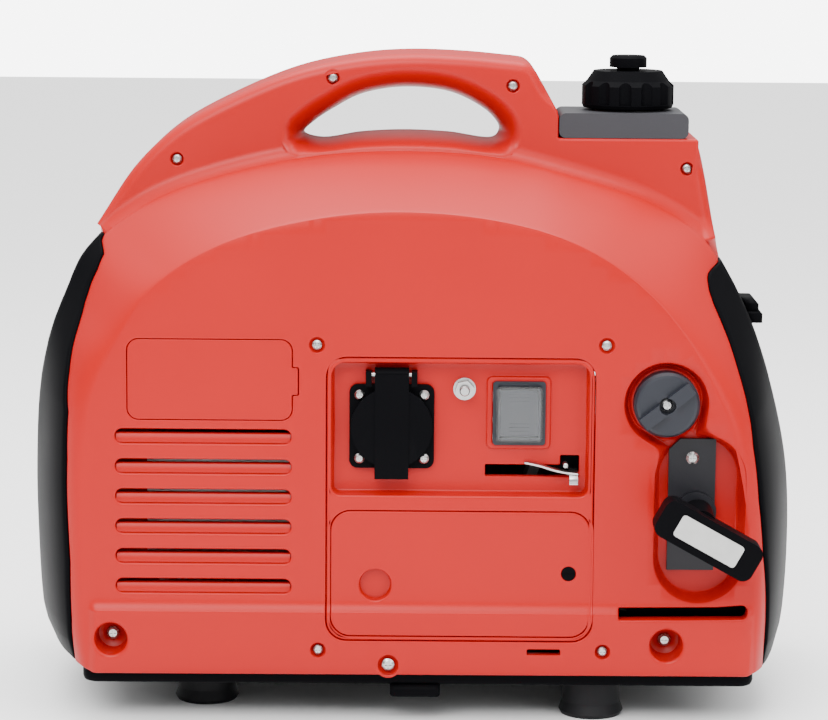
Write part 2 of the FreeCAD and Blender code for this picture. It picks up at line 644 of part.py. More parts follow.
finish("socket_lid", cut(lidForm, rod("x", "socket_x-20", "-(%s+4.4)" % floorY, "socket_z+31.3", 1.55, 40),
                         rod("x", "socket_x-10.5", "-(%s+4.4)" % floorY, "socket_z+31.3", 3, 4.5)))
lidPin = rod("x", "socket_x-15.4", "-(%s+4.4)" % floorY, "socket_z+31.3", 1.5, 30.3)
coil = []
for k in range(4):
    coil.append(lathe("x", "socket_x-9.9+%.2f" % (k * 0.95), "-(%s+4.4)" % floorY, "socket_z+31.3",
                      [(1.7, 0), (2.6, 0), (2.6, 0.95), (1.7, 0.95)]))
finish("socket_lid_pin", group(lidPin, fuse(*coil)))


def small_screw(x, z, seat, head="screw_head", shank="screw_shank", length=7):
    # A pan-head screw seen from the front: shank behind the seat, domed head with a cross in it.
    form = lathe("y", x, "-(%s-%s)" % (seat, length), z, [
        (0, 0), (shank, 0), (shank, length), (head, length), (head, "%s+1.2" % length),
        ("(%s)*0.62" % head, "%s+2.3" % length), (0, "%s+2.5" % length)])
    arm = "(%s)*1.1" % head
    return cut(form, box("%s-(%s)/2" % (x, arm), "-(%s+2.8)" % seat, "%s-0.4" % z, arm, 1.4, 0.8),
               box("%s-0.4" % x, "-(%s+2.8)" % seat, "%s-(%s)/2" % (z, arm), 0.8, 1.4, arm))


gap = number("socket_screw_gap") / 2
sx, sz = number("socket_x"), number("socket_z")
finish("socket_screws", group(*[small_screw(x, z, "%s+3" % floorY, 3.0, 1.5, 8)
                                for x in (sx - gap, sx + gap) for z in (sz - gap, sz + gap)]))
smallScrews = []
for x, z in [(-56.8, 229.8), (112.8, 230.6)]:
    smallScrews.append(small_screw(x, z, "front_face-1.5", 2.9, "screw_shank", 5))
for x, z in [(-55.7, 47.1), (113.1, 47.2)]:
    smallScrews.append(small_screw(x, z, "front_face+0.5", 2.9, "screw_shank", 6))
smallScrews += [small_screw(x, z, "spine_half-2", 2.9, "screw_shank", 6) for x, z in spineScrews]
finish("small_screws", group(*smallScrews))
largeScrews = [small_screw(-14, 38.2, "front_face+0.5", 3.8, "screw_shank", 6)]
largeScrews += [small_screw(x, z, "front_face-14", 3.8, "screw_shank", 5) for x, z in deepSpots]
largeScrews.append(small_screw(165.3, 162.3, "front_face-pocket_depth+3", 3.8, "screw_shank", 7))
for x, z in [(-170, 50), (160, 50), (-170, 225), (165, 215)]:
    y = "front_face+skirt_proud" if z < 60 else "front_face"
    largeScrews.append(lathe("y", x, "%s+2" % y, z, [
        (0, 0), (2.4, 0), (3.6, 1), (3.6, 2), ("screw_shank", 2), ("screw_shank", 9), (0, 9)]))
finish("large_screws", group(*largeScrews))

# Earth terminal: flanged stud, washer and hexagon nut.
groundStud = lathe("y", "ground_x", "-(%s-10)" % floorY, "ground_z", [
    (0, 0), (6, 0), (6, 6.8), (3, 6.8), (3, 20), (2.4, 20.8), (0, 20.8)])
nutSpots = []
for k in range(6):
    turn = math.radians(60 * k + 12)
    nutSpots.append(("ground_x+5.8*%.6f" % math.cos(turn), "ground_z+5.8*%.6f" % math.sin(turn)))
nutForm = fuse(plate(nutSpots, "%s+6.4" % floorY, 5),
               rod("y", "ground_x", "-%s" % "(%s)" % floorY, "ground_z", 6.6, 1.6))
groundNut = cut(nutForm, rod("y", "ground_x", "-(%s-1)" % floorY, "ground_z", 3.05, 10))
finish("ground_terminal", group(groundStud, groundNut))

# Breaker switch under a clear cover, choke lever, engine knob with the cock behind it.
switchY = "front_face-recess_depth+2.5"
switchForm = fuse(slab("switch_x-switch_width/2", "switch_x+switch_width/2", "switch_z-switch_height/2",
                       "switch_z+switch_height/2", "%s+1.5" % switchY, 1.5, 2),
                  box("switch_x-14.6", "-(%s+0.1)" % switchY, "switch_z-18.1", 29.2, 24, 36.2))
switchBore = box("switch_x-11.6", "-(%s+3)" % switchY, "switch_z-14.6", 23.2, 16, 29.2)
finish("switch_body", cut(switchForm, switchBore))
rocker = fuse(box("switch_x-11.2", "-(%s+1)" % switchY, "switch_z-13.6", 22.4, 5.5, 27.2),
              rod("x", "switch_x-11.2", "-(%s-6)" % switchY, "switch_z", 3, 22.4),
              box("switch_x-11.2", "-(%s-4)" % switchY, "switch_z-3", 22.4, 2.5, 6))
ribs = []
for z in (-11.5, -9.3, -7.1, 6.3, 8.5, 10.7):
    ribs.append(box("switch_x-6", "-(%s+1.6)" % switchY, "switch_z%+.1f" % z, 12, 1, 0.9))
finish("switch_rocker", fuse(rocker, *ribs))
coverForm = slab("switch_x-13.6", "switch_x+13.6", "switch_z-16.6", "switch_z+16.6",
                 "%s+6.5" % switchY, 5, 2.5)
finish("switch_cover", cut(coverForm, slab("switch_x-12.6", "switch_x+12.6", "switch_z-15.6", "switch_z+15.6",
                                           "%s+5.5" % switchY, 6, 2)))
finish("choke_lever", fuse(box(93.6, "-(front_face+3)", 147.5, 1.4, 9, 10.1),
                           box(93.6, "-(front_face-5)", 151.2, 1.4, 10, 6.4),
                           box(60, "-(front_face-14)", 152.2, 35, 1.4, 5.4),
                           box(88, "-(front_face+3)", 147.5, 7, 1.4, 6)))
knobSeat = "front_face-knob_depth+0.5"
knobForm = lathe("y", "knob_x", "-(%s)" % knobSeat, "knob_z", [
    (0, 0), ("knob_radius", 0), ("knob_radius", 9), ("knob_radius-1.5", 11), ("knob_radius-3", 11.4),
    (0, 11.4)])
gripRib = box("-knob_radius+1.5", "-(%s+16)" % knobSeat, -4, "2*knob_radius-3", 8, 8)
ribTurn = swung(gripRib, "knob_x", "knob_z", -38)
finish("engine_knob", cut(fuse(knobForm, ribTurn), rod("y", "knob_x", "-(%s+8)" % knobSeat, "knob_z", 5, 12),
                          rod("y", "knob_x", "-(%s-1)" % knobSeat, "knob_z", 2.05, 12)))
finish("knob_screw", small_screw("knob_x", "knob_z", "%s+8" % knobSeat, 3.6, 2, 8))
finish("fuel_cock", cut(rod("y", "knob_x", -76, "knob_z", 11, 19),
                        rod("y", "knob_x", -80, "knob_z", 5.05, 20), rod("x", 130, -84, "knob_z", 2.5, 40)))
finish("fuel_cock_plug", cut(lathe("y", "knob_x", -81, "knob_z", [
    (0, 0), (5, 0), (5, 16.5), (7.6, 16.5), (7.6, 19.4), (0, 19.4)]),
    rod("y", "knob_x", -90, "knob_z", 2.05, 20)))

# Recoil starter: guide plate with its bushing, grip with a blank plate, rope, pulley, spring, housing.
pocketY = "front_face-pocket_depth"
plateForm = fuse(plate([(151.4, 94.2), (179.2, 94.2), (179.2, 173.5), (158, 173.5), (151.4, 167)],
                       "%s+3" % pocketY, 3),
                 rod("y", "bush_x", "-(%s-4)" % pocketY, "bush_z", 8.8, 4),
                 rod("y", "bush_x", "-(%s+2)" % pocketY, "bush_z", 12, 5))
finish("starter_guide_plate", cut(plateForm, rod("y", "bush_x", "-(%s-20)" % pocketY, "bush_z", 3, 40),
                                  rod("y", 165.3, "-(%s-20)" % pocketY, 162.3, "screw_hole", 40)))
gripBar = slab("-grip_length/2", "grip_length/2", "-grip_height/2", "grip_height/2", "grip_front", 17, 6)
gripTurn = swung(gripBar, "grip_x", "grip_z", number("grip_tilt"))
stem = lathe("y", "bush_x", "-102.5", "bush_z", [(2.1, 0), (8, 0), (9.5, 6), (8.5, 34), (2.1, 34)])
gripForm = fuse(gripTurn, stem)
labelSeat = slab(-20.7, 20.7, -7.2, 7.2, "grip_front+1", 1.8, 2)
labelForm = slab(-20.4, 20.4, -6.9, 6.9, "grip_front+0.3", 1.0, 2)
turnedPair = [swung(form, "grip_x", "grip_z", number("grip_tilt")) for form in (labelSeat, labelForm)]
finish("starter_grip", cut(gripForm, turnedPair[0]))
finish("grip_label", turnedPair[1])
finish("starter_rope", tube_run([(167.8, -130.9, 130.2), (167.8, -79, 130.2), (144.2, -79, 151.9)], 2.0))
pulleyForm = lathe("y", "crank_x", -84, "crank_z", [
    (7.05, 0), ("pulley_radius", 0), ("pulley_radius", 2), ("pulley_radius-4.5", 3), ("pulley_radius-4.5", 7),
    ("pulley_radius", 8), ("pulley_radius", 10), (26, 10), (26, 4), (12, 4), (12, 10), (7.05, 10)])
pulleyForm.setExpression("Placement.Base.y", "-74")
finish("starter_pulley", pulleyForm)
finish("rewind_spring", lathe("y", "crank_x", -78.2, "crank_z", [(12.5, 0), (25.5, 0), (25.5, 5), (12.5, 5)]))
housing = lathe("y", "crank_x", -68, "crank_z", [
    (47, 0), (49, 0), (49, 20.5), (0, 20.5), (0, 18.5), (4, 18.5), (4, 6), (7, 6), (7, 18.5), (47, 18.5)])
finish("starter_housing", cut(housing, box("crank_x+20", -89.2, "crank_z-6", 40, 16, 34)))

# Flywheel fan, stator, coil, crankshaft in two bearings, crankcase with its finned cylinder.
fanForm = lathe("y", "crank_x", -34, "crank_z", [
    ("flywheel_radius-12", 0), ("flywheel_radius", 0), ("flywheel_radius", 26), (14, 26), (14, 31), (8, 31),
    (8, 6), (14, 6), (14, 20), ("flywheel_radius-12", 20)])
vanes = []
for k in range(14):
    vane = box(20, -66, -1, "flywheel_radius-22", 7, 2)
    vanes.append(swung(vane, "crank_x", "crank_z", 360.0 * k / 14))
finish("flywheel_fan", fuse(fanForm, *vanes))
finish("stator", lathe("y", "crank_x", -26, "crank_z", [(18, 0), (40, 0), (40, 24), (18, 24)]))
finish("ignition_coil", box(105, -60, 184, 30, 20, 18))
finish("crankshaft", lathe("y", "crank_x", 44, "crank_z", [
    (0, 0), (7.9, 0), (7.9, 109), (5, 109), (5, 110), (0, 110)]))
bearings = []
for y in (-12, 40):
    bearings.append(lathe("y", "crank_x", y, "crank_z", [(8, 0), (13, 0), (13, 10), (8, 10)]))
finish("crank_bearings", group(*bearings))
caseForm = fuse(box("crank_x-35", -24, "crank_z-45", 70, 66, 78), box("crank_x-40", -20, 50, 80, 58, 40))
finish("crankcase", cut(caseForm, rod("y", "crank_x", 28, "crank_z", 30, 38),
                        rod("y", "crank_x", 60, "crank_z", 13, 100),
                        rod("x", "crank_x-60", "crank_y", "crank_z", 17, 60)))
fins = [rod("x", "10+%d*9" % k, "crank_y", "crank_z", 33, 3) for k in range(8)]
finish("cylinder", cut(fuse(rod("x", 8, "crank_y", "crank_z", 23, 76.9), *fins),
                       rod("x", 0, "crank_y", "crank_z", 17, 90)))
headFins = [box("-16+%d*6" % k, -24, 95, 2.5, 66, 66) for k in range(4)]
finish("cylinder_head", cut(fuse(box(-16, -15, 104, 23.9, 48, 48), *headFins),
                            rod("x", -30, "crank_y", "crank_z", 5.1, 50)))
pistonForm = cut(rod("x", 36, "crank_y", "crank_z", 16.95, 26), rod("x", 42, "crank_y", "crank_z", 13, 30),
                 rod("y", 52, 30, "crank_z", 4, 60))
finish("piston", group(pistonForm, rod("y", 52, "crank_y+14", "crank_z", 3.95, 28)))
conRod = fuse(rod("y", "crank_x", "crank_y+5", "crank_z", 15, 10),
              rod("y", 52, "crank_y+5", "crank_z", 7.5, 10),
              box(54, "crank_y-3", "crank_z-4.5", "crank_x-64", 6, 9))
finish("connecting_rod", cut(conRod, rod("y", "crank_x", 40, "crank_z", 8.0, 60),
                             rod("y", 52, 40, "crank_z", 4, 60)))
finish("spark_plug", lathe("x", -42, "crank_y", "crank_z", [
    (0, 0), (2.5, 0), (2.5, 6), (4, 6), (4, 18), (8, 18), (8, 25.9), (5, 25.9), (5, 48), (0, 48)]))
mounts = [lathe("z", x, y, 27.6, [(0, 0), (12, 0), (9, 11), (12, 22.3), (0, 22.3)])
          for x in (90, 150) for y in (-10, 28)]
finish("engine_mounts", group(*mounts))

# Breathing and exhaust, power electronics, hoses and leads.
finish("air_filter", cut(fuse(slab(-166, -78, 178, 246, 90, 70, 6), rod("x", -80, -30, 200, 10, 40)),
                         slab(-163, -81, 181, 243, 87, 64, 5), rod("x", -90, -30, 200, 8, 60)))
finish("carburettor", fuse(box(-40, -42, 188, 26, 24, 24), rod("z", -27, -30, 174, 10, 15),
                           tube_run([(-16, -30, 200), (-4, -30, 200), (-4, 9, 200), (-4, 9, 161.5)], 7.5)))
finish("muffler", fuse(slab(-165, -60, 66, 160, 15, 98, 12), rod("y", -118, 108, 112, 9, 30),
                       tube_run([(-4, 20, 94), (-4, 20, 80), (-61, 20, 80)], 8)))
finish("inverter_module", fuse(slab(-58, 58, 76, 124, 90, 34, 3), *[box("-56+%d*8" % k, -56, 78, 3, 12, 44)
                                                                  for k in range(14)]))
finish("fuel_hose", tube_run([(60, -20, 241), (60, -20, 226), (60, -84, 226), (120, -84, 226),
                              (120, -84, 196), (137, -84, 196)], 3.2))
finish("plug_lead", tube_run([(-43, 9, 128), (-54, 9, 128), (-54, -44, 150), (104, -52, 198)], 3))
finish("wiring_loom", tube_run([(0, -66, 128), (0, -62, 138), (-12, -62, 152), (30, -60, 160),
                                (62, -70, 165)], 3))

doc.recompute()

faults = 0
for obj in doc.Objects:
    if "Invalid" in obj.State or "Error" in obj.State:
        print("BAD STATE", obj.Name, obj.Label, obj.State)
        faults += 1
for obj in pieces:
    shape = obj.Shape
    if shape.isNull() or not shape.isValid() or not shape.Solids:
        print("BAD SHAPE", obj.Label, shape.isNull())
        faults += 1
        continue
    shape.exportStep("parts/%s.step" % obj.Label)
    size = shape.BoundBox
    print("%-20s solids %d  x %.1f %.1f  y %.1f %.1f  z %.1f %.1f  vol %.0f" % (
        obj.Label, len(shape.Solids), size.XMin, size.XMax, size.YMin, size.YMax, size.ZMin, size.ZMax,
        shape.Volume))
print("pieces", len(pieces), "faults", faults)
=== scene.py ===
import bmesh
import bpy
import json
import math
import numpy as np
from mathutils import Matrix, Vector, geometry


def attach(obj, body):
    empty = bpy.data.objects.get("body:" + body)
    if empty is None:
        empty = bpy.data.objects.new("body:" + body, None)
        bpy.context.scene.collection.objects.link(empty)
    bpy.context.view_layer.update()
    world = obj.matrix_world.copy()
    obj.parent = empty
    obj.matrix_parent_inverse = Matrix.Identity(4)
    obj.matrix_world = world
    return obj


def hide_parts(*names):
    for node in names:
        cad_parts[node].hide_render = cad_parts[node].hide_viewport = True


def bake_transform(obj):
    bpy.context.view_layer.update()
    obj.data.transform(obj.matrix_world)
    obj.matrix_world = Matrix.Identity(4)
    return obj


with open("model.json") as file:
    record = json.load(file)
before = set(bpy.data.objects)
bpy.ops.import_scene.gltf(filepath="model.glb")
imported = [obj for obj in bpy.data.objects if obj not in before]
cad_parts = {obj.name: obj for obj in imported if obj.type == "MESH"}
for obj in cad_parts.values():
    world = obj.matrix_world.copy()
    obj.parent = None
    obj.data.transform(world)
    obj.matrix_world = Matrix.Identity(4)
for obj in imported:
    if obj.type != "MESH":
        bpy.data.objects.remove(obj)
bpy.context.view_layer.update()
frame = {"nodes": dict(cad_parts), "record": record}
nodes = frame["nodes"]
scene = bpy.context.scene

# the machine is drawn about its own middle plane, which sits this far behind the origin
midY = 0.01765

camData = bpy.data.cameras.new("cam")
camData.lens = 129.3
camera = bpy.data.objects.new("cam", camData)
scene.collection.objects.link(camera)
camera.matrix_world = (Matrix.Translation((0, -1.8266 + midY, 0.4936))
                       @ Matrix.Rotation(math.radians(81), 4, "X")
                       @ Matrix.Rotation(math.radians(0.45), 4, "Z"))
scene.camera = camera
print("camera ready")


def nodeAt(tree, kind, x, y, **values):
    n = tree.nodes.new(kind)
    n.location = (x, y)
    for name, value in values.items():
        if hasattr(n, name):
            setattr(n, name, value)
        else:
            n.inputs[name.replace("_", " ")].default_value = value
    return n


def surfaceGroup():
    # mottling, fine grain height and scuff mask from object coordinates, sized in metres
    g = bpy.data.node_groups.new("surfaceDetail", "ShaderNodeTree")
    for name, start in [("Grain Size", 900.0), ("Blotch Size", 14.0), ("Scuff Size", 60.0)]:
        s = g.interface.new_socket(name=name, in_out="INPUT", socket_type="NodeSocketFloat")
        s.default_value = start
    for name in ("Grain", "Blotch", "Scuff"):
        g.interface.new_socket(name=name, in_out="OUTPUT", socket_type="NodeSocketFloat")
    gi = nodeAt(g, "NodeGroupInput", -900, 0)
    go = nodeAt(g, "NodeGroupOutput", 500, 0)
    tc = nodeAt(g, "ShaderNodeTexCoord", -900, 300)
    grain = nodeAt(g, "ShaderNodeTexNoise", -500, 300, Detail=2.0)
    blotch = nodeAt(g, "ShaderNodeTexNoise", -500, 0, Detail=4.0)
    scuff = nodeAt(g, "ShaderNodeTexNoise", -500, -300, Detail=6.0, Roughness=0.7)
    stretch = nodeAt(g, "ShaderNodeMapping", -700, -300)
    stretch.inputs["Scale"].default_value = (1.0, 1.0, 0.25)
    stretch.inputs["Rotation"].default_value = (0.3, 0.6, 0.2)
    g.links.new(tc.outputs["Object"], grain.inputs["Vector"])
    g.links.new(tc.outputs["Object"], blotch.inputs["Vector"])
    g.links.new(tc.outputs["Object"], stretch.inputs["Vector"])
    g.links.new(stretch.outputs["Vector"], scuff.inputs["Vector"])
    g.links.new(gi.outputs["Grain Size"], grain.inputs["Scale"])
    g.links.new(gi.outputs["Blotch Size"], blotch.inputs["Scale"])
    g.links.new(gi.outputs["Scuff Size"], scuff.inputs["Scale"])
    cut = nodeAt(g, "ShaderNodeMapRange", -200, -300)
    cut.inputs["From Min"].default_value = 0.62
    cut.inputs["From Max"].default_value = 0.78
    g.links.new(scuff.outputs["Fac"], cut.inputs["Value"])
    g.links.new(grain.outputs["Fac"], go.inputs["Grain"])
    g.links.new(blotch.outputs["Fac"], go.inputs["Blotch"])
    g.links.new(cut.outputs["Result"], go.inputs["Scuff"])
    return g


detail = surfaceGroup()


def plastic(name, look):
    m = bpy.data.materials.new(name)
    m.use_nodes = True
    t = m.node_tree
    bsdf = t.nodes["Principled BSDF"]
    d = nodeAt(t, "ShaderNodeGroup", -900, 0, node_tree=detail)
    d.inputs["Grain Size"].default_value = look.get("grain", 900.0)
    d.inputs["Blotch Size"].default_value = look.get("blotch", 14.0)
    d.inputs["Scuff Size"].default_value = look.get("scuff", 60.0)
    tone = nodeAt(t, "ShaderNodeMix", -500, 200, data_type="RGBA")
    tone.inputs["A"].default_value = (*look["dark"], 1)
    tone.inputs["B"].default_value = (*look["color"], 1)
    t.links.new(d.outputs["Blotch"], tone.inputs["Factor"])
    worn = nodeAt(t, "ShaderNodeMix", -250, 200, data_type="RGBA")
    worn.inputs["B"].default_value = (*look.get("worn", look["color"]), 1)
    amount = nodeAt(t, "ShaderNodeMath", -450, -50, operation="MULTIPLY")
    amount.inputs[1].default_value = look.get("wear", 0.15)
    t.links.new(d.outputs["Scuff"], amount.inputs[0])
    t.links.new(amount.outputs[0], worn.inputs["Factor"])
    t.links.new(tone.outputs["Result"], worn.inputs["A"])
    t.links.new(worn.outputs["Result"], bsdf.inputs["Base Color"])
    rough = nodeAt(t, "ShaderNodeMapRange", -450, -250)
    rough.inputs["To Min"].default_value = look["rough"][0]
    rough.inputs["To Max"].default_value = look["rough"][1]
    t.links.new(d.outputs["Blotch"], rough.inputs["Value"])
    t.links.new(rough.outputs["Result"], bsdf.inputs["Roughness"])
    bump = nodeAt(t, "ShaderNodeBump", -250, -400)
    bump.inputs["Strength"].default_value = look.get("bump", 0.12)
    bump.inputs["Distance"].default_value = look.get("depth", 0.0002)
    t.links.new(d.outputs["Grain"], bump.inputs["Height"])
    t.links.new(bump.outputs["Normal"], bsdf.inputs["Normal"])
    bsdf.inputs["Metallic"].default_value = look.get("metal", 0.0)
    bsdf.inputs["IOR"].default_value = look.get("ior", 1.46)
    bsdf.inputs["Coat Weight"].default_value = look.get("coat", 0.0)
    bsdf.inputs["Coat Roughness"].default_value = 0.2
    bsdf.inputs["Transmission Weight"].default_value = look.get("through", 0.0)
    bsdf.inputs["Specular IOR Level"].default_value = look.get("specular", 0.5)
    return m


looks = {
    "red": {"color": (0.34, 0.0010, 0.0008), "dark": (0.31, 0.0008, 0.0006), "worn": (0.36, 0.008, 0.007),
            "wear": 0.05, "rough": (0.34, 0.44), "bump": 0.08, "grain": 1400.0, "ior": 1.3},
    "black": {"color": (0.003, 0.003, 0.0036), "dark": (0.002, 0.002, 0.0025), "worn": (0.008, 0.008, 0.009),
              "rough": (0.30, 0.44), "bump": 0.2, "grain": 1600.0, "ior": 1.2, "specular": 0.05},
    "grey": {"color": (0.030, 0.030, 0.034), "dark": (0.024, 0.024, 0.028),
             "rough": (0.42, 0.55), "bump": 0.3, "ior": 1.3},
    "darkgrey": {"color": (0.006, 0.006, 0.009), "dark": (0.004, 0.004, 0.006),
                 "rough": (0.4, 0.55), "bump": 0.3, "ior": 1.35},
    "bluegrey": {"color": (0.012, 0.014, 0.020), "dark": (0.009, 0.010, 0.015),
                 "rough": (0.3, 0.45), "bump": 0.15, "ior": 1.35},
    "rubber": {"color": (0.004, 0.004, 0.005), "dark": (0.003, 0.003, 0.004),
               "rough": (0.5, 0.7), "bump": 0.3, "ior": 1.3},
    "clear": {"color": (0.9, 0.93, 0.95), "dark": (0.88, 0.9, 0.93), "rough": (0.04, 0.12), "through": 1.0,
              "wear": 0.02, "bump": 0.02},
    "zinc": {"color": (0.50, 0.50, 0.49), "dark": (0.36, 0.36, 0.36), "worn": (0.2, 0.19, 0.17), "wear": 0.5,
             "rough": (0.2, 0.36), "metal": 1.0, "scuff": 200.0, "bump": 0.15},
    "brass": {"color": (0.72, 0.52, 0.2), "dark": (0.6, 0.43, 0.17), "rough": (0.25, 0.4), "metal": 1.0},
    "plate": {"color": (0.42, 0.42, 0.41), "dark": (0.34, 0.34, 0.33), "rough": (0.4, 0.5), "bump": 0.1,
              "blotch": 160.0},
    "cord": {"color": (0.02, 0.02, 0.02), "dark": (0.012, 0.012, 0.012), "rough": (0.75, 0.9), "bump": 0.6},
    "nylon": {"color": (0.7, 0.7, 0.66), "dark": (0.62, 0.62, 0.58), "rough": (0.45, 0.6)},
    "tank": {"color": (0.05, 0.05, 0.05), "dark": (0.04, 0.04, 0.04), "rough": (0.5, 0.65)},
    "castAlloy": {"color": (0.55, 0.55, 0.55), "dark": (0.42, 0.42, 0.42), "rough": (0.45, 0.65),
                  "metal": 1.0, "bump": 0.5},
    "castIron": {"color": (0.16, 0.16, 0.16), "dark": (0.10, 0.10, 0.10), "rough": (0.6, 0.75), "metal": 0.8,
                 "bump": 0.5},
    "steel": {"color": (0.5, 0.5, 0.5), "dark": (0.42, 0.42, 0.42), "rough": (0.3, 0.5), "metal": 1.0},
    "cable": {"color": (0.02, 0.02, 0.02), "dark": (0.015, 0.015, 0.015), "rough": (0.5, 0.7)},
}
mats = {name: plastic(name, look) for name, look in looks.items()}
slotLook = {
    "red_plastic": "red", "black_plastic": "black", "grey_plastic": "grey", "rubber": "rubber",
    "clear_plastic": "clear", "zinc": "zinc", "brass": "brass", "label_plate": "plate", "rope": "cord",
    "white_plastic": "nylon", "tank_plastic": "tank", "cast_aluminium": "castAlloy", "cast_iron": "castIron",
    "steel": "steel", "cable": "cable",
}
slotOf = {s["node"]: s["material_slot"] for s in frame["record"]["subparts"]}
ownLook = {"switch_body": "bluegrey", "switch_rocker": "bluegrey", "starter_guide_plate": "darkgrey",
           "engine_knob": "bluegrey"}
for name, obj in nodes.items():
    obj.data.materials.clear()
    obj.data.materials.append(mats[ownLook.get(name, slotLook[slotOf[name]])])

# moulded and turned pieces get softened edges, in metres
softEdges = {
    "fuel_cap": 0.0006, "vent_knob": 0.0005, "cap_pad": 0.0012, "engine_knob": 0.0007, "starter_grip": 0.0012,
    "starter_guide_plate": 0.0007, "socket_body": 0.0005, "socket_lid": 0.0006, "switch_body": 0.0004,
    "switch_rocker": 0.0003, "switch_cover": 0.0004, "ground_terminal": 0.0004, "grip_label": 0.0002,
    "rubber_feet": 0.0008}
for name, width in softEdges.items():
    soft = nodes[name].modifiers.new("softEdge", "BEVEL")
    soft.width = width
    soft.segments = 3
    soft.limit_method = "ANGLE"
    soft.angle_limit = math.radians(35)
    soft.use_clamp_overlap = True
print("materials on", len(nodes), "CAD pieces")


# Housing surfaces, in millimetres about the machine's middle plane. Each guide gives a place on the arch,
# from the left foot over the crown to the right foot: x and z on the flat face, x and z on the full
# outline, and how much the place belongs to the rounded sides.
guides = np.array([
    (-190, 24, -219, 24, 1.0), (-193.5, 60, -225, 60, 1.0), (-195, 105, -227.5, 105, 1.0),
    (-194.5, 150, -228, 150, 1.0), (-190, 190, -225.5, 195, 1.0), (-182, 215, -219, 227, 0.8),
    (-172, 234, -209.5, 252, 0.45), (-158, 257, -198, 276, 0.15), (-143, 271, -179.5, 293, 0.0),
    (-124, 283, -155, 309, 0.0), (-96, 294.5, -117, 323, 0.0), (-52, 304.5, -62, 335, 0.0),
    (-10, 308, -11, 338.5, 0.0), (40, 304.5, 46, 335.5, 0.0), (84, 294, 96, 323.5, 0.0),
    (118, 276.5, 141, 308.5, 0.0), (143, 255, 172, 289, 0.1), (160, 233, 188, 266, 0.3),
    (176, 205, 204, 233, 0.65), (188, 175, 216, 196, 1.0), (196.5, 135, 225.6, 150, 1.0),
    (201.5, 85, 227.8, 92, 1.0), (200, 24, 223, 24, 1.0)], float)
faceY = 108.0
shoulderY = 45.0
spineY = 36.0
skirtLow = 29.5
ledgeTop = 77.0
ledgeLow = 70.0
skirtProud = 3.0


def smooth(t):
    t = np.clip(t, 0, 1)
    return t * t * (3 - 2 * t)


def curveThrough(points, count, closed=False):
    # a smooth curve through the points: cubic pieces whose slopes come from the neighbours
    p = np.asarray(points, float)
    if closed:
        p = np.vstack([p[-2:], p, p[:3]])
    u = np.concatenate([[0], np.cumsum(np.sqrt(np.linalg.norm(np.diff(p, axis=0), axis=1)))])
    slope = np.zeros_like(p)
    slope[0] = (p[1] - p[0]) / (u[1] - u[0])
    slope[-1] = (p[-1] - p[-2]) / (u[-1] - u[-2])
    for k in range(1, len(p) - 1):
        share = (u[k] - u[k - 1]) / (u[k + 1] - u[k - 1])
        slope[k] = ((p[k] - p[k - 1]) / (u[k] - u[k - 1]) * (1 - share)
                    + (p[k + 1] - p[k]) / (u[k + 1] - u[k]) * share)
    low, high = (u[2], u[-3]) if closed else (u[0], u[-1])
    at = np.linspace(low, high, count, endpoint=not closed)
    k = np.clip(np.searchsorted(u, at, side="right") - 1, 0, len(p) - 2)
    width = (u[k + 1] - u[k])[:, None]
    f = (at - u[k])[:, None] / width
    return ((2 * f ** 3 - 3 * f ** 2 + 1) * p[k] + (f ** 3 - 2 * f ** 2 + f) * width * slope[k]
            + (3 * f ** 2 - 2 * f ** 3) * p[k + 1] + (f ** 3 - f ** 2) * width * slope[k + 1])


def evenly(curve, count, closed=False, axes=2):
    # the same curve with points an even distance apart, measured over its first axes
    if closed:
        curve = np.vstack([curve, curve[:1]])
    run = np.concatenate([[0], np.cumsum(np.linalg.norm(np.diff(curve[:, :axes], axis=0), axis=1))])
    at = np.linspace(0, run[-1], count, endpoint=not closed)
    return np.stack([np.interp(at, run, curve[:, k]) for k in range(curve.shape[1])], 1)


def rounded(corners, step=1.2):
    # a closed outline from corners of x, z and radius, anticlockwise, each corner an arc
    spots = np.array([c[:2] for c in corners], float)
    out = []
    for k, (x, z, radius) in enumerate(corners):
        here, before, after = spots[k], spots[k - 1], spots[(k + 1) % len(corners)]
        a = (before - here) / np.linalg.norm(before - here)
        b = (after - here) / np.linalg.norm(after - here)
        half = math.acos(np.clip(a @ b, -1, 1)) / 2
        reach = radius / math.tan(half)
        middle = here + (a + b) / np.linalg.norm(a + b) * radius / math.sin(half)
        start, stop = here + a * reach, here + b * reach
        first = math.atan2(*(start - middle)[::-1])
        turn = (math.atan2(*(stop - middle)[::-1]) - first + math.pi) % (2 * math.pi) - math.pi
        for t in np.linspace(0, 1, 14):
            out.append(middle + radius * np.array([math.cos(first + turn * t), math.sin(first + turn * t)]))
    out = np.array(out)
    count = int(np.linalg.norm(np.diff(np.vstack([out, out[:1]]), axis=0), axis=1).sum() / step)
    return evenly(out, max(count, 24), True)


def roundBox(x0, x1, z0, z1, radius, step=1.2):
    return rounded([(x0, z0, radius), (x1, z0, radius), (x1, z1, radius), (x0, z1, radius)], step)


def circle(x, z, radius, count=64):
    turn = np.arange(count) * 2 * math.pi / count
    return np.stack([x + radius * np.cos(turn), z + radius * np.sin(turn)], 1)


def outward(loop, closed=True):
    # unit normals of an anticlockwise outline, pointing out of it
    if closed:
        way = np.roll(loop, -1, 0) - np.roll(loop, 1, 0)
    else:
        way = np.gradient(loop, axis=0)
    way = way / np.maximum(np.linalg.norm(way, axis=1), 1e-9)[:, None]
    return np.stack([way[:, 1], -way[:, 0]], 1)


def proud(x, z):
    # how far the skirt stands out of the flat face: a hollow band rises to the ledge, flat below it
    rise = np.clip((ledgeTop - z) / (ledgeTop - ledgeLow), 0, 1) ** 2
    return skirtProud * rise * smooth((x + 193) / 6) * smooth((204 - x) / 6)


def newForm():
    return {"points": [], "faces": [], "count": 0}


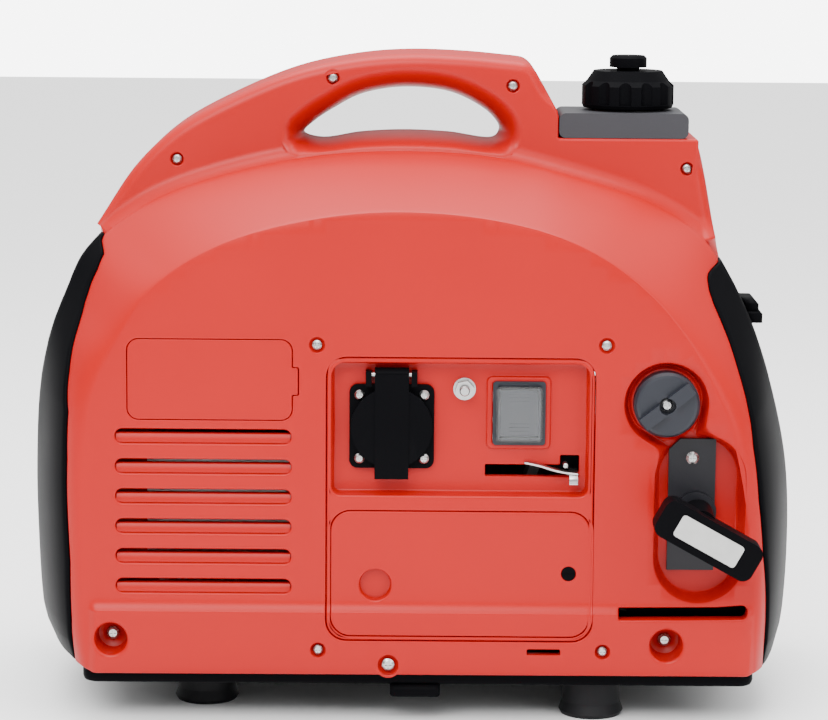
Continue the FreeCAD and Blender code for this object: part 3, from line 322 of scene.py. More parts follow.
def addPoints(form, points, faces):
    form["points"].append(np.asarray(points, float).reshape(-1, 3))
    form["faces"] += [tuple(int(v) + form["count"] for v in f) for f in faces]
    form["count"] += len(form["points"][-1])


def addGrid(form, grid, closed=False, flip=False):
    # rows of points joined by squares; closed joins each row's end to its start
    grid = np.asarray(grid, float)
    a = np.arange(grid.shape[0] * grid.shape[1]).reshape(grid.shape[:2])
    if closed:
        a = np.hstack([a, a[:, :1]])
    quads = np.stack([a[:-1, :-1], a[:-1, 1:], a[1:, 1:], a[1:, :-1]], -1).reshape(-1, 4)
    if flip:
        quads = quads[:, ::-1]
    addPoints(form, grid, quads)


def inside(points, loop):
    # which points lie inside a closed outline, by counting crossings
    x, z = points[:, :1], points[:, 1:]
    a, b = loop, np.roll(loop, -1, 0)
    crosses = (a[:, 1] > z) != (b[:, 1] > z)
    rise = np.where(b[:, 1] == a[:, 1], 1e-9, b[:, 1] - a[:, 1])
    left = x < (b[:, 0] - a[:, 0]) * (z - a[:, 1]) / rise + a[:, 0]
    return (crosses & left).sum(1) % 2 == 1


def fill(outer, holes, lines=(), spacing=7.0):
    # triangles over the region inside the outline and outside the holes, following the extra lines
    spots, edges = [], []
    count = 0
    for loop in [outer] + list(holes):
        spots.append(loop)
        edges += [(count + k, count + (k + 1) % len(loop)) for k in range(len(loop))]
        count += len(loop)
    for line in lines:
        spots.append(line)
        edges += [(count + k, count + k + 1) for k in range(len(line) - 1)]
        count += len(line)
    if spacing:
        low, high = outer.min(0), outer.max(0)
        gx, gz = np.meshgrid(np.arange(low[0], high[0], spacing), np.arange(low[1], high[1], spacing))
        loose = np.stack([gx.ravel(), gz.ravel()], 1)
        keep = inside(loose, outer)
        for hole in holes:
            keep &= ~inside(loose, hole)
        spots.append(loose[keep])
    flat = np.vstack(spots)
    result = geometry.delaunay_2d_cdt([Vector(p) for p in flat], edges, [], 0, 1e-4)
    points = np.array([tuple(v) for v in result[0]])
    tris = np.array([f for f in result[2] if len(f) == 3])
    middle = points[tris].mean(1)
    keep = inside(middle, outer)
    for hole in holes:
        keep &= ~inside(middle, hole)
    return points, tris[keep]


def addFill(form, height, outer, holes, lines=(), spacing=7.0):
    # a filled region as a surface seen from the front; height gives how far forward each point stands
    points, tris = fill(outer, holes, lines, spacing)
    a, b, c = points[tris[:, 0]], points[tris[:, 1]], points[tris[:, 2]]
    turned = (b[:, 0] - a[:, 0]) * (c[:, 1] - a[:, 1]) - (b[:, 1] - a[:, 1]) * (c[:, 0] - a[:, 0]) < 0
    tris[turned] = tris[turned][:, ::-1]
    y = -height(points[:, 0], points[:, 1])
    addPoints(form, np.stack([points[:, 0], y, points[:, 1]], 1), tris)


def addRim(form, loop, steps, height, hole=True):
    # a strip that follows an outline: each step is a distance out from the outline and a distance back
    normals = outward(loop)
    rows = []
    for out, back in steps:
        spot = loop + normals * out
        rows.append(np.stack([spot[:, 0], back - height(spot[:, 0], spot[:, 1]), spot[:, 1]], 1))
    addGrid(form, rows, True, flip=not hole)


def bend(radius, depth, draft=0.0, count=6):
    # steps of a rim: a flat ring, a quarter round, then a wall to the depth that draws in by draft
    steps = [(radius + 0.7, 0.0)]
    for t in np.linspace(0, math.pi / 2, count):
        steps.append((radius * (1 - math.sin(t)), radius * (1 - math.cos(t))))
    steps.append((-draft, depth))
    return steps


weldReach = 0.01


def tuckedIn(steps):
    # the same rim for an outer edge, where the material lies inside the outline
    return [(-out, back) for out, back in steps]


def placed(name, form, node, body):
    # welds a form, turns its faces outward, links it to the scene, attaches it to its body if it has one,
    # gives it its CAD piece's material and hides that CAD piece
    bm = bmesh.new()
    points = np.vstack(form["points"])
    verts = [bm.verts.new(p) for p in points]
    for f in form["faces"]:
        try:
            bm.faces.new([verts[i] for i in f])
        except ValueError:
            pass
    bmesh.ops.remove_doubles(bm, verts=bm.verts, dist=weldReach)
    bmesh.ops.dissolve_degenerate(bm, dist=0.001, edges=bm.edges)
    bmesh.ops.recalc_face_normals(bm, faces=bm.faces)
    bm.faces.ensure_lookup_table()
    centre = Vector((0, 0, 150))
    done = [False] * len(bm.faces)
    for first in bm.faces:
        if done[first.index]:
            continue
        done[first.index] = True
        island, queue = [first], [first]
        while queue:
            for e in queue.pop().edges:
                for f in e.link_faces:
                    if not done[f.index]:
                        done[f.index] = True
                        island.append(f)
                        queue.append(f)
        if sum((f.calc_center_median() - centre).dot(f.normal) * f.calc_area() for f in island) < 0:
            bmesh.ops.reverse_faces(bm, faces=island)
    bm.transform(Matrix.Translation((0, midY, 0)) @ Matrix.Scale(0.001, 4))
    mesh = bpy.data.meshes.new(name)
    bm.to_mesh(mesh)
    bm.free()
    mesh.polygons.foreach_set("use_smooth", [True] * len(mesh.polygons))
    mesh.materials.append(mats[ownLook.get(node, slotLook[slotOf[node]])])
    obj = bpy.data.objects.new(name, mesh)
    scene.collection.objects.link(obj)
    if body:
        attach(obj, body)
    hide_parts(node)
    return obj


ribs = 721
path = evenly(curveThrough(guides, 2400), ribs)
path[:, 4] = np.clip(path[:, 4], 0, 1)


def lowEdge(x):
    # the bottom edge of the skirt, which climbs a little towards both ends
    return skirtLow + 0.36 * np.clip(-181 - x, 0, 24) + 0.2 * np.clip(x - 180, 0, 40)


def skin(place, depth):
    # a point of the housing: place runs from 0 to 1 along the arch, depth from the flat face to the back.
    # On the crown the shoulder runs straight back, on the sides it swells like a quarter round.
    at = np.clip(place, 0, 1) * (ribs - 1)
    fx, fz, ox, oz, side = [np.interp(at, np.arange(ribs), path[:, k]) for k in range(5)]
    away = faceY - depth
    along = np.clip((faceY - np.abs(away)) / (faceY - shoulderY), 0, 1)
    crown = np.sqrt(along ** 2 + 0.024 * along) / math.sqrt(1.024)
    share = (1 - side) * crown + side * np.sqrt(along)
    swell = np.where(np.abs(away) < shoulderY, 1.5 * (1 - (away / shoulderY) ** 2), 0.0) * side
    x = fx + (ox - fx) * share
    z = fz + (oz - fz) * share
    x = x + np.sign(x) * swell
    low = lowEdge(x)
    z = np.where(z < 60, low + (z - 24) * (60 - low) / 36, z)
    front = np.where(away > 90, proud(x, z) * smooth((away - 90) / 12), 0.0)
    return np.stack([x, -away - front, z], -1)


def placeAt(height, left):
    # the place on the arch where the flat face's edge has this height
    index = np.arange(ribs)
    crown = int(np.argmax(path[:, 1]))
    if left:
        return np.interp(height, path[:crown, 1], index[:crown]) / (ribs - 1)
    return np.interp(height, path[crown:, 1][::-1], index[crown:][::-1]) / (ribs - 1)


# the seam between red shell and dark cover: height on the face's edge, and depth of the seam there
leftSeam = np.array([(24, 9.5), (62, 5.2), (98, 4), (159, 6.2), (186, 8.5), (206, 17.5), (226, 31),
                     (236, 38.5), (246, 42.5), (254, 44.5), (261, 49.5), (264, 60), (266, 63)])
rightSeam = np.array([(24, 12.5), (62, 9), (103, 4.8), (134, 4.8), (164, 7.5), (181, 12), (198, 19),
                      (214, 27), (231, 34), (237, 38), (241, 43), (242.5, 47.5), (243.6, 56), (244.2, 63)])
leftTop = placeAt(266.5, True)
rightTop = placeAt(244.0, False)


def seamDepth(place):
    leftPlaces = placeAt(leftSeam[:, 0], True)
    rightPlaces = placeAt(rightSeam[:, 0], False)
    left = np.interp(place, leftPlaces, leftSeam[:, 1])
    right = np.interp(place, rightPlaces[::-1], rightSeam[:, 1][::-1])
    return np.where(place < 0.5, left, right)


def lean(place, depth):
    # the seam's upper end on the right leans back along the arch as it nears the spine
    return place + 0.006 * smooth((depth - 44) / 19) * np.exp(-((place - rightTop) / 0.02) ** 2)


places = np.linspace(0, 1, ribs)
edge = skin(places, np.zeros(ribs))[:, [0, 2]]
bottom = np.linspace(edge[0], edge[-1], 180)[1:-1]
faceOutline = np.vstack([edge[::-1], bottom])
ledgeLines = [np.stack([np.linspace(-192.5, 199, 260), np.full(260, z)], 1)
              for z in (77, 75.6, 74.3, 73.1, 72, 71, 70.4, 70, 69.4, 60)]
ledgeLines += [np.stack([np.full(14, x), np.linspace(32, 77, 14)], 1)
               for x in (-192.2, -191, -189.8, -188.4, -187)]


def faceHeight(x, z):
    return faceY + proud(x, z)


def skinNormal(place, depth):
    a = skin(place + 0.0012, depth) - skin(place - 0.0012, depth)
    b = skin(place, np.clip(depth + 0.4, 0, 216)) - skin(place, np.clip(depth - 0.4, 0, 216))
    n = np.cross(a, b)
    return n / np.maximum(np.linalg.norm(n, axis=-1), 1e-9)[..., None]


def addShoulder(form):
    # from the flat face back to the seam, with the seam's edge rounded and turned in
    depthOf = seamDepth(places)
    rows = []
    for v in np.linspace(0, 1, 34):
        depth = (depthOf - 0.7) * v ** 1.8
        rows.append(skin(lean(places, depth), depth))
    for back, under in [(0.3, 0.1), (0.05, 0.4), (0.0, 0.9), (0.0, 3.2)]:
        depth = depthOf - back
        place = lean(places, depth)
        rows.append(skin(place, depth) - skinNormal(place, depth) * under)
    addGrid(form, rows)


def addBottomRim(form):
    # the skirt's lower edge, rounded and turned in
    line = [skin(np.zeros(12), (seamDepth(np.zeros(12)) - 0.7) * np.linspace(1, 0, 12) ** 1.8)]
    line.append(np.stack([bottom[:, 0], -faceHeight(bottom[:, 0], bottom[:, 1]), bottom[:, 1]], 1))
    line.append(skin(np.ones(12), (seamDepth(np.ones(12)) - 0.7) * np.linspace(0, 1, 12) ** 1.8))
    line = np.vstack(line)
    inward = np.stack([-outward(line[:, :2], False)[:, 0], -outward(line[:, :2], False)[:, 1]], 1)
    rows = []
    for back, down in [(0, 0), (0.3, -0.45), (0.8, -0.75), (1.6, -0.85), (6, -0.85)]:
        rows.append(np.column_stack([line[:, 0] + inward[:, 0] * back, line[:, 1] + inward[:, 1] * back,
                                     line[:, 2] + down]))
    addGrid(form, rows, flip=True)


def mirrored(form):
    form["points"] = [p * np.array([1, -1, 1]) for p in form["points"]]
    form["faces"] = [f[::-1] for f in form["faces"]]
    return form


# front shell: a face with its openings, each with a rounded rim
knobSpot = (148.5, 196.0)
knobRecess = 23.6
knobDepth = 8.0
pocketSpot = (169.2, 103.5)
pocketTop = 151.3
pocketRadius = 25.7
pocketDepth = 15.0


def wellLevel(x, z):
    # distance outside the knob's round recess joined smoothly to the starter's long pocket
    a = np.hypot(x - knobSpot[0], z - knobSpot[1]) - knobRecess
    b = np.hypot(x - pocketSpot[0], z - np.clip(z, pocketSpot[1], pocketTop)) - pocketRadius
    h = np.clip(0.5 + 0.5 * (b - a) / 14, 0, 1)
    return b + (a - b) * h - 14 * h * (1 - h)


def wellHeight(x, z):
    fromKnob = np.hypot(x - knobSpot[0], z - knobSpot[1])
    depth = knobDepth + (pocketDepth - knobDepth) * smooth((fromKnob - 20.2) / 3.5)
    return faceY + proud(x, z) - depth * smooth((1.6 - wellLevel(x, z)) / 4.4)


def wellLoop(level):
    count = 260
    turn = np.arange(count) * 2 * math.pi / count
    reach = np.linspace(2, 95, 900)
    x = 165 + np.outer(np.cos(turn), reach)
    z = 160 + np.outer(np.sin(turn), reach)
    value = wellLevel(x, z)
    row = np.arange(count)
    last = np.minimum((value < level).cumsum(1).argmax(1), 898)
    share = (level - value[row, last]) / (value[row, last + 1] - value[row, last])
    far = reach[last] + share * (reach[1] - reach[0])
    return np.stack([165 + np.cos(turn) * far, 160 + np.sin(turn) * far], 1)


def addWell(form):
    rows = []
    for level in (1.6, 1.2, 0.8, 0.3, -0.2, -0.7, -1.2, -1.7, -2.2, -2.8, -3.4):
        loop = wellLoop(level)
        rows.append(np.stack([loop[:, 0], -wellHeight(loop[:, 0], loop[:, 1]), loop[:, 1]], 1))
    addGrid(form, rows, True, flip=True)
    ring = [np.stack([knobSpot[0] + r * np.cos(t), knobSpot[1] + r * np.sin(t)], 1)
            for r in (19.9, 20.6, 21.4, 22.2, 23.0, 23.9) for t in [np.linspace(-2.6, 0.9, 60)]]
    addFill(form, wellHeight, loop, [], ring, 3.0)


panelLoop = roundBox(-51.35, 106.85, 52.95, 222.85, 12.3)
hatchLoop = rounded([(-168.4, 184.6, 7), (-71, 184.6, 7), (-71, 199.6, 0.7), (-67.4, 199.6, 0.9),
                     (-67.4, 216.4, 0.9), (-71, 216.4, 0.7), (-71, 232.9, 7), (-168.4, 232.9, 7)], 0.8)
slotLoops = [roundBox(-175.5, -71.9, 84.9 + 18 * k - 4.3, 84.9 + 18 * k + 4.3, 4.25, 0.9) for k in range(6)]
topScrews = [(-56.8, 229.8), (112.8, 230.6)]
lowScrews = [(-55.7, 47.1), (113.1, 47.2)]
pits = [(-178.7, 52.8), (151.0, 51.2)]
middleScrew = (-14, 38.2)
ventLoop = rounded([(122.4, 66.6, 0.5), (197.5, 67.6, 3.4), (199.9, 75.6, 3.2), (180, 74.2, 30),
                    (122.4, 73.6, 0.5)], 0.9)
smallLoop = roundBox(68.3, 88, 45, 48.5, 0.6, 0.8)


def frontShell():
    form = newForm()
    openings = [(panelLoop, bend(0.7, 6)), (hatchLoop, bend(0.6, 5)), (ventLoop, bend(1.3, 9)),
                (smallLoop, bend(0.6, 7))]
    openings += [(loop, bend(1.3, 5)) for loop in slotLoops]
    openings += [(circle(x, z, 4.4), bend(0.9, 1.6) + [(-2.3, 1.7), (-2.4, 6)]) for x, z in topScrews]
    openings += [(circle(x, z, 4.4), bend(0.8, 2.6) + [(-2.3, 2.7), (-2.4, 7)]) for x, z in lowScrews]
    openings.append((circle(*middleScrew, 5.9), bend(1.0, 2.6) + [(-3.7, 2.7), (-3.8, 7)]))
    openings += [(circle(x, z, 9.6, 96), bend(2.2, 16.4, 0.6) + [(-1.2, 16.9), (-7.4, 17), (-7.5, 20)])
                 for x, z in pits]
    holes = []
    for loop, steps in openings:
        addRim(form, loop, steps, faceHeight)
        holes.append(loop + outward(loop) * steps[0][0])
    holes.append(wellLoop(1.6))
    addFill(form, faceHeight, faceOutline, holes, ledgeLines, 9.0)
    addShoulder(form)
    addBottomRim(form)
    addWell(form)
    # a sloping blade closes the lower part of each slot
    for k in range(6):
        middle = 84.9 + 18 * k
        x = np.linspace(-175, -72.4, 40)
        rows = []
        for up, back in [(-4.6, 6.5), (-4.6, 2.2), (-4.2, 1.6), (-3.4, 1.35), (0.9, 2.6), (1.5, 3.1),
                         (1.7, 4.0), (1.4, 9)]:
            rows.append(np.stack([x, np.full(40, -(faceY - back)), np.full(40, middle + up)], 1))
        addGrid(form, rows, flip=True)
    return form


placed("frontShell", frontShell(), "front_shell", "housing")


def rearShell():
    form = newForm()
    openings = [(roundBox(20, 150, 90 + 14 * k, 97 + 14 * k, 3.4), bend(0.8, 5)) for k in range(8)]
    openings.append((circle(-118, 112, 13, 72), bend(1.5, 8)))
    openings += [(circle(x, z, 2.1, 32), bend(0.4, 5))
                 for x, z in [(-170, 50), (160, 50), (-170, 225), (165, 215)]]
    holes = []
    for loop, steps in openings:
        addRim(form, loop, steps, faceHeight)
        holes.append(loop + outward(loop) * steps[0][0])
    addFill(form, faceHeight, faceOutline, holes, ledgeLines, 9.0)
    addShoulder(form)
    addBottomRim(form)
    return mirrored(form)


placed("rearShell", rearShell(), "rear_shell", "housing")
print("shells ready")


def endCover(start, stop):
    # a dark cover from the front seam round the end to the rear seam, standing a little proud
    form = newForm()
    place = np.linspace(start, stop, 170)
    depthOf = seamDepth(place)
    ends = [(0.5, -3.0), (0.5, 0.2), (0.65, 0.8), (1.1, 1.2), (1.9, 1.35)]
    steps = [(depthOf + gap, lift) for gap, lift in ends]
    for t in np.linspace(0, 1, 60):
        t = 0.5 - 0.5 * math.cos(math.pi * t)
        steps.append((depthOf + 3 + (210 - 2 * depthOf) * t, 1.4))
    steps += [(216 - depthOf - gap, lift) for gap, lift in ends[::-1]]
    rows = []
    for depth, lift in steps:
        at = lean(place, np.minimum(depth, 216 - depth))
        spot = skin(at, depth)
        # below its crease the cover draws in
        drawn = 0.12 * np.clip(50 - spot[:, 2], 0, None)
        rows.append(spot + skinNormal(at, depth) * (lift - drawn)[:, None])
    grid = np.array(rows)
    low = 0 if start < 0.5 else -1
    tip = -1 - low
    addGrid(form, grid, flip=True)
    for which in (low, tip):
        line = grid[:, which]
        inward = np.array([0, 0, 200.0]) - line
        inward[:, 1] = 0
        inward /= np.linalg.norm(inward, axis=1)[:, None]
        addGrid(form, [line, line + inward * 3.0], flip=which == tip)
    return form


leftCover = endCover(0.0, leftTop - 0.0012)
placed("leftCover", leftCover, "left_end_cover", "housing")
rightCover = endCover(rightTop + 0.0012, 1.0)
for low, high in [((200, -26, 233), (213, 26, 239.5)), ((203, -22, 236), (211, 22, 245))]:
    x, y, z = zip(low, high)
    box = [(x[0], y[0]), (x[1] - 1, y[0]), (x[1], y[0] + 1), (x[1], y[1] - 1), (x[1] - 1, y[1]), (x[0], y[1])]
    rows = [[(a, b, z[0]) for a, b in box], [(a, b, z[1] - 1) for a, b in box],
            [(a - (a > x[0]), b, z[1]) for a, b in box]]
    addGrid(rightCover, rows, True)
    addPoints(rightCover, rows[2], [(0, 1, 2, 3, 4, 5)])
    addPoints(rightCover, rows[0], [(5, 4, 3, 2, 1, 0)])
# its inner lip, a black sheet behind the front vent slot, closes the slot's end; its black is painted shade
# standing in for the dark depth inside the slot
lip = [[(x, -(faceY - 13), z) for x in np.linspace(128, 208, 30)] for z in (63, 70, 76.5)]
addGrid(rightCover, lip)
placed("rightCover", rightCover, "right_end_cover", "housing")
print("covers ready")

# spine: handle and tower in two mirrored halves that meet on the middle plane
handleLine = [(-192.5, 292.2), (-169, 327.5), (-145, 350), (-108, 370.5), (-71, 385.5), (-35, 393.2),
              (-5, 395.7), (30, 394.8), (60, 392.2)]
shoulderOfHandle = [(60, 392.2), (66, 391), (70.5, 387.6), (77, 377), (85.3, 362)]
towerSide = [(170.6, 341), (174, 329), (179, 304), (182.5, 284), (185, 274)]
holeLine = [(-68.5, 346), (-62, 353), (-50, 361), (-34.5, 369.2), (-16, 373.4), (2, 374), (20.5, 371.4),
            (35.5, 365), (46.5, 357), (51, 349.5), (47.5, 343.5), (20, 346.2), (-7, 347.3), (-34, 345.8),
            (-58, 342.2)]
turnedCorner = [(168.5 + 2.3 * math.sin(t), 343.7 + 2.3 * math.cos(t)) for t in np.linspace(0, 1.4, 8)]
crest = np.vstack([curveThrough(handleLine, 300)[:-1], curveThrough(shoulderOfHandle, 60),
                   np.linspace((86, 359), (86, 346.2), 10), np.linspace((87, 346), (168, 346), 60),
                   turnedCorner, curveThrough(towerSide, 80)])
crest = evenly(crest, 520)
along = np.concatenate([[0], np.cumsum(np.linalg.norm(np.diff(crest, axis=0), axis=1))])
toPad = along[np.argmin(np.hypot(crest[:, 0] - 86, crest[:, 1] - 361))]
fromPad = along[np.argmin(np.hypot(crest[:, 0] - 170.6, crest[:, 1] - 341))]
crestRound = (3 + 4 * smooth(along / 30) - 5 * smooth((along - toPad + 16) / 14)
              + 6 * smooth((along - fromPad) / 16))
holeEdge = evenly(curveThrough(holeLine, 600, True), 220, True)[::-1]
valley = skin(np.linspace(leftTop, rightTop, 400), np.full(400, 63.0))[:, [0, 2]]
valley[:, 1] -= 1.3
coveWidth = 10.0
spineScrews = [(-143.9, 331.6), (-50, 381.1), (58.2, 377.1), (163.8, 328)]


def fromValley(x, z):
    spots = np.stack([np.ravel(x), np.ravel(z)], 1)
    near = np.full(len(spots), 1e9)
    for k in range(0, len(valley), 50):
        part = valley[k:k + 51]
        near = np.minimum(near, np.hypot(spots[:, :1] - part[:, 0], spots[:, 1:] - part[:, 1]).min(1))
    return near.reshape(np.shape(x))


def spineHeight(x, z):
    return spineY + (shoulderY - spineY) * np.clip(1 - fromValley(x, z) / coveWidth, 0, 1) ** 2.2


def spineHalf():
    form = newForm()
    normals = outward(holeEdge)
    if (normals * (holeEdge - holeEdge.mean(0))).sum() < 0:
        normals = -normals
    reach = np.linspace(0.5, 15, 60)
    width = np.full(len(holeEdge), 14.0)
    for k, (spot, way) in enumerate(zip(holeEdge, normals)):
        ray = spot + reach[:, None] * way
        low = np.interp(ray[:, 0], valley[:, 0], valley[:, 1])
        under = np.nonzero(ray[:, 1] < low + 0.9)[0]
        if len(under):
            width[k] = min(14.0, reach[under[0]] - 0.25)
    kernel = np.ones(9) / 9
    wrapped = np.concatenate([width[-8:], width, width[:8]])
    width = np.minimum(width, np.convolve(wrapped, kernel, "same")[8:-8])
    outer = holeEdge + normals * width[:, None]
    high = spineHeight(outer[:, 0], outer[:, 1])
    rows = [np.column_stack([holeEdge[:, 0] + 1.2 * normals[:, 0], np.full(len(holeEdge), -0.1),
                             holeEdge[:, 1] + 1.2 * normals[:, 1]]),
            np.column_stack([holeEdge[:, 0] + 0.3 * normals[:, 0], np.full(len(holeEdge), -0.25),
                             holeEdge[:, 1] + 0.3 * normals[:, 1]])]
    for t in np.linspace(0.03, math.pi / 2, 22):
        spot = holeEdge + normals * (width * (1 - math.cos(t)))[:, None]
        rows.append(np.column_stack([spot[:, 0], -high * math.sin(t), spot[:, 1]]))
    addGrid(form, rows, True)
    inward = -outward(crest, False)
    if (inward * (np.array([-9, 330]) - crest)).sum() < 0:
        inward = -inward
    brow = crest + inward * crestRound[:, None]
    browHeight = spineHeight(brow[:, 0], brow[:, 1])
    rows = []
    for t in np.linspace(math.pi / 2, 0, 9):
        spot = crest + inward * (crestRound * (1 - math.cos(t)))[:, None]
        rows.append(np.column_stack([spot[:, 0], -(browHeight - crestRound * (1 - math.sin(t))), spot[:, 1]]))
    for y, under in [(20, 0), (8, 0), (1.0, 0), (0.3, 0.2), (0.1, 1.0)]:
        spot = crest + inward * under
        rows.append(np.column_stack([spot[:, 0], np.full(len(spot), -float(y)), spot[:, 1]]))
    addGrid(form, rows, flip=True)
    left, right = valley[0], valley[-1]
    region = np.vstack([valley, brow[::-1]])
    rowsAlong = []
    up = outward(valley, False)
    if up[:, 1].mean() < 0:
        up = -up
    for s in (0.8, 1.8, 3.0, 4.4, 6, 8, 10):
        line = valley[6:-6] + up[6:-6] * s
        keep = ~inside(line, outer) & inside(line, region)
        for part in np.split(np.arange(len(line)), np.nonzero(~keep)[0]):
            part = part[keep[part]]
            if len(part) > 2:
                rowsAlong.append(line[part])
    pitHoles = []
    for x, z in spineScrews:
        steps = bend(0.8, 2.1) + [(-2.0, 2.2), (-2.1, 8)]
        addRim(form, circle(x, z, 3.9, 48), steps, spineHeight)
        pitHoles.append(circle(x, z, 3.9 + steps[0][0], 48))
    addFill(form, spineHeight, region, [outer] + pitHoles, rowsAlong, 5.0)
    # the spine tucks down behind the shoulder's edge
    line = np.column_stack([valley[:, 0], -spineHeight(valley[:, 0], valley[:, 1]), valley[:, 1]])
    addGrid(form, [line, line + np.array([0, 0.4, -2.5])])
    for first, second in ((brow[0], left), (brow[-1], right)):
        a = np.array([first[0], -spineHeight(first[0], first[1]), first[1]])
        b = np.array([second[0], -shoulderY, second[1]])
        lip = np.linspace(a, b, 8)
        addGrid(form, [lip, lip + np.array([0, 2, -3])])
    return form


placed("spineFront", spineHalf(), "spine_front_half", "housing")
placed("spineRear", mirrored(spineHalf()), "spine_rear_half", "housing")
print("spine ready")

# control panel, service door and hatch
panelFace = roundBox(-50.95, 106.45, 53.35, 222.45, 12)
doorSeat = roundBox(-48.85, 105.35, 55.65, 131.35, 12.3)
doorFace = roundBox(-48.4, 104.9, 56.1, 130.9, 11.9)
recessLoop = roundBox(-48, 103, 140.5, 219.5, 5)
recessDepth = 9.0
socketSpot = (-12.8, 180.7)
switchSpot = (62.2, 189.2)
chokeLoop = rounded([(42.5, 150.8, 0.6), (98.1, 150.8, 0.6), (98.1, 163.7, 0.6), (86.9, 163.7, 0.6),
                     (86.9, 157.9, 0.6), (42.5, 157.9, 0.6)], 0.8)


def controlPanel():
    form = newForm()
    rim = tuckedIn(bend(1.6, 5))
    addRim(form, panelFace, rim, faceHeight, hole=False)
    outer = panelFace + outward(panelFace) * rim[0][0]
    seat = bend(0.8, 5)
    addRim(form, doorSeat, seat, faceHeight)
    wall = bend(1.5, recessDepth - 1.2, 0.8)
    wall += [(-1.2, recessDepth - 0.3), (-2.0, recessDepth)]
    addRim(form, recessLoop, wall, faceHeight)
    holes = [doorSeat + outward(doorSeat) * seat[0][0], recessLoop + outward(recessLoop) * wall[0][0]]
    addFill(form, faceHeight, outer, holes, ledgeLines, 9.0)
    # the recess floor with the holes for its fittings, and the raised frame of the switch
    floorY = faceY - recessDepth

    def floorHeight(x, z):
        return np.full(np.shape(x), floorY)

    switchFrame = roundBox(switchSpot[0] - 19, switchSpot[0] + 18.5, switchSpot[1] - 21.5,
                           switchSpot[1] + 21.5, 3.2, 0.8)
    sockets = [(circle(*socketSpot, 22.3, 72), bend(0.3, 6)), (chokeLoop, bend(0.5, 5)),
               (circle(29.9, 203.2, 3.1, 24), bend(0.2, 4))]
    floorHoles = []
    for loop, steps in sockets:
        addRim(form, loop, steps, floorHeight)
        floorHoles.append(loop + outward(loop) * steps[0][0])
    steps = [(1.0, 0), (0.35, -0.15), (0, -0.6), (0, -1.7), (-0.3, -2.25), (-0.9, -2.5), (-2.7, -2.5),
             (-3.3, -2.25), (-3.5, -1.7), (-3.5, 9)]
    addRim(form, switchFrame, steps, floorHeight)
    floorHoles.append(switchFrame + outward(switchFrame) * 1.0)
    addFill(form, floorHeight, recessLoop + outward(recessLoop) * -2.0, floorHoles, (), 6.0)
    # the back of the door's seat, seen when the door is off
    addFill(form, lambda x, z: np.full(np.shape(x), faceY - 5.0), doorSeat, [], (), 12.0)
    return form


placed("controlPanel", controlPanel(), "control_panel", "housing")


def serviceDoor():
    form = newForm()
    rim = tuckedIn(bend(1.0, 3))
    addRim(form, doorFace, rim, faceHeight, hole=False)
    outer = doorFace + outward(doorFace) * rim[0][0]
    cup = bend(1.2, 6.2, 0.8) + [(-1.4, 6.8), (-2.4, 7.1), (-5, 7.3), (-9.3, 7.4)]
    finger = circle(-22, 86.3, 9.4, 80)
    stud = circle(92.4, 93.9, 4.35, 40)
    studSteps = bend(0.5, 1.6) + [(-2.1, 1.7)]
    addRim(form, finger, cup, faceHeight)
    addRim(form, stud, studSteps, faceHeight)
    holes = [finger + outward(finger) * cup[0][0], stud + outward(stud) * studSteps[0][0]]
    addFill(form, faceHeight, outer, holes, ledgeLines, 9.0)
    return form


placed("serviceDoor", serviceDoor(), "service_door", "door")


def hatch():
    form = newForm()
    loop = rounded([(-168, 185, 6.6), (-71.4, 185, 6.6), (-71.4, 200, 0.6), (-67.9, 200, 0.6),
                    (-67.9, 216, 0.6), (-71.4, 216, 0.6), (-71.4, 232.5, 6.6), (-168, 232.5, 6.6)], 0.8)
    rim = tuckedIn(bend(0.55, 2.2, count=5))
    addRim(form, loop, rim, faceHeight, hole=False)
    addFill(form, faceHeight, loop + outward(loop) * rim[0][0], [], (), 9.0)
    return form


placed("hatchPanel", hatch(), "access_hatch", "hatch")
print("panel, door and hatch ready")

# base tray: a shallow pan with rounded corners, a block under its middle and a bead round its floor
trayLow = 24.0


def addPan(form, plan, steps, caps, spacing):
    # a closed form: the plan drawn in and set to a height at each step, with a flat cap at each end
    normals = outward(plan)
    rows = []
    for under, z in steps:
        spot = plan - normals * under
        rows.append(np.column_stack([spot[:, 0], spot[:, 1], np.full(len(spot), z)]))
    addGrid(form, rows, True)
    for under, z in caps:
        flat, tris = fill(plan - normals * under, [], (), spacing)
        addPoints(form, np.column_stack([flat, np.full(len(flat), z)]), tris)


def baseTray():
    form = newForm()
    floorTop = trayLow + 6
    steps = [(6, floorTop), (3.2, floorTop), (2.9, 36), (2.4, 36.6), (0.6, 36.6), (0, 36), (0, trayLow + 3.5),
             (0.4, trayLow + 1.8), (1.3, trayLow + 0.6), (3, trayLow), (9, trayLow), (9.6, trayLow + 0.5),
             (11.4, trayLow + 0.5), (12, trayLow)]
    addPan(form, roundBox(-197, 204.5, -103, 103, 9, 2.0), steps, (steps[-1], steps[0]), 20.0)
    steps = [(0, trayLow + 0.3), (0, 18.2), (0.3, 17.3), (0.9, 16.7), (1.8, 16.5)]
    addPan(form, roundBox(-13, 17, -103.4, -63, 2.5, 1.0), steps, (steps[-1], steps[0]), 6.0)
    return form


placed("trayPan", baseTray(), "base_tray", "housing")


def addEnds(form, rows):
    # closes both ends of a tube of rings with a fan to the middle
    count = len(rows[0])
    for row, order in ((rows[0], 1), (rows[-1], -1)):
        addPoints(form, np.vstack([row, [np.mean(row, axis=0)]]),
                  [(k, (k + 1) % count, count)[::order] for k in range(count)])


def sweep(form, centres, side, section):
    # a closed section carried along a line of points; the section is across (side) and square to the line
    centres = np.asarray(centres, float)
    way = np.gradient(centres, axis=0)
    way /= np.linalg.norm(way, axis=1)[:, None]
    side = np.asarray(side, float)
    rows = []
    for spot, along in zip(centres, way):
        up = np.cross(along, side)
        up /= np.linalg.norm(up)
        across = np.cross(up, along)
        rows.append([spot + across * a + up * b for a, b in section])
    addGrid(form, rows, True)
    addEnds(form, rows)


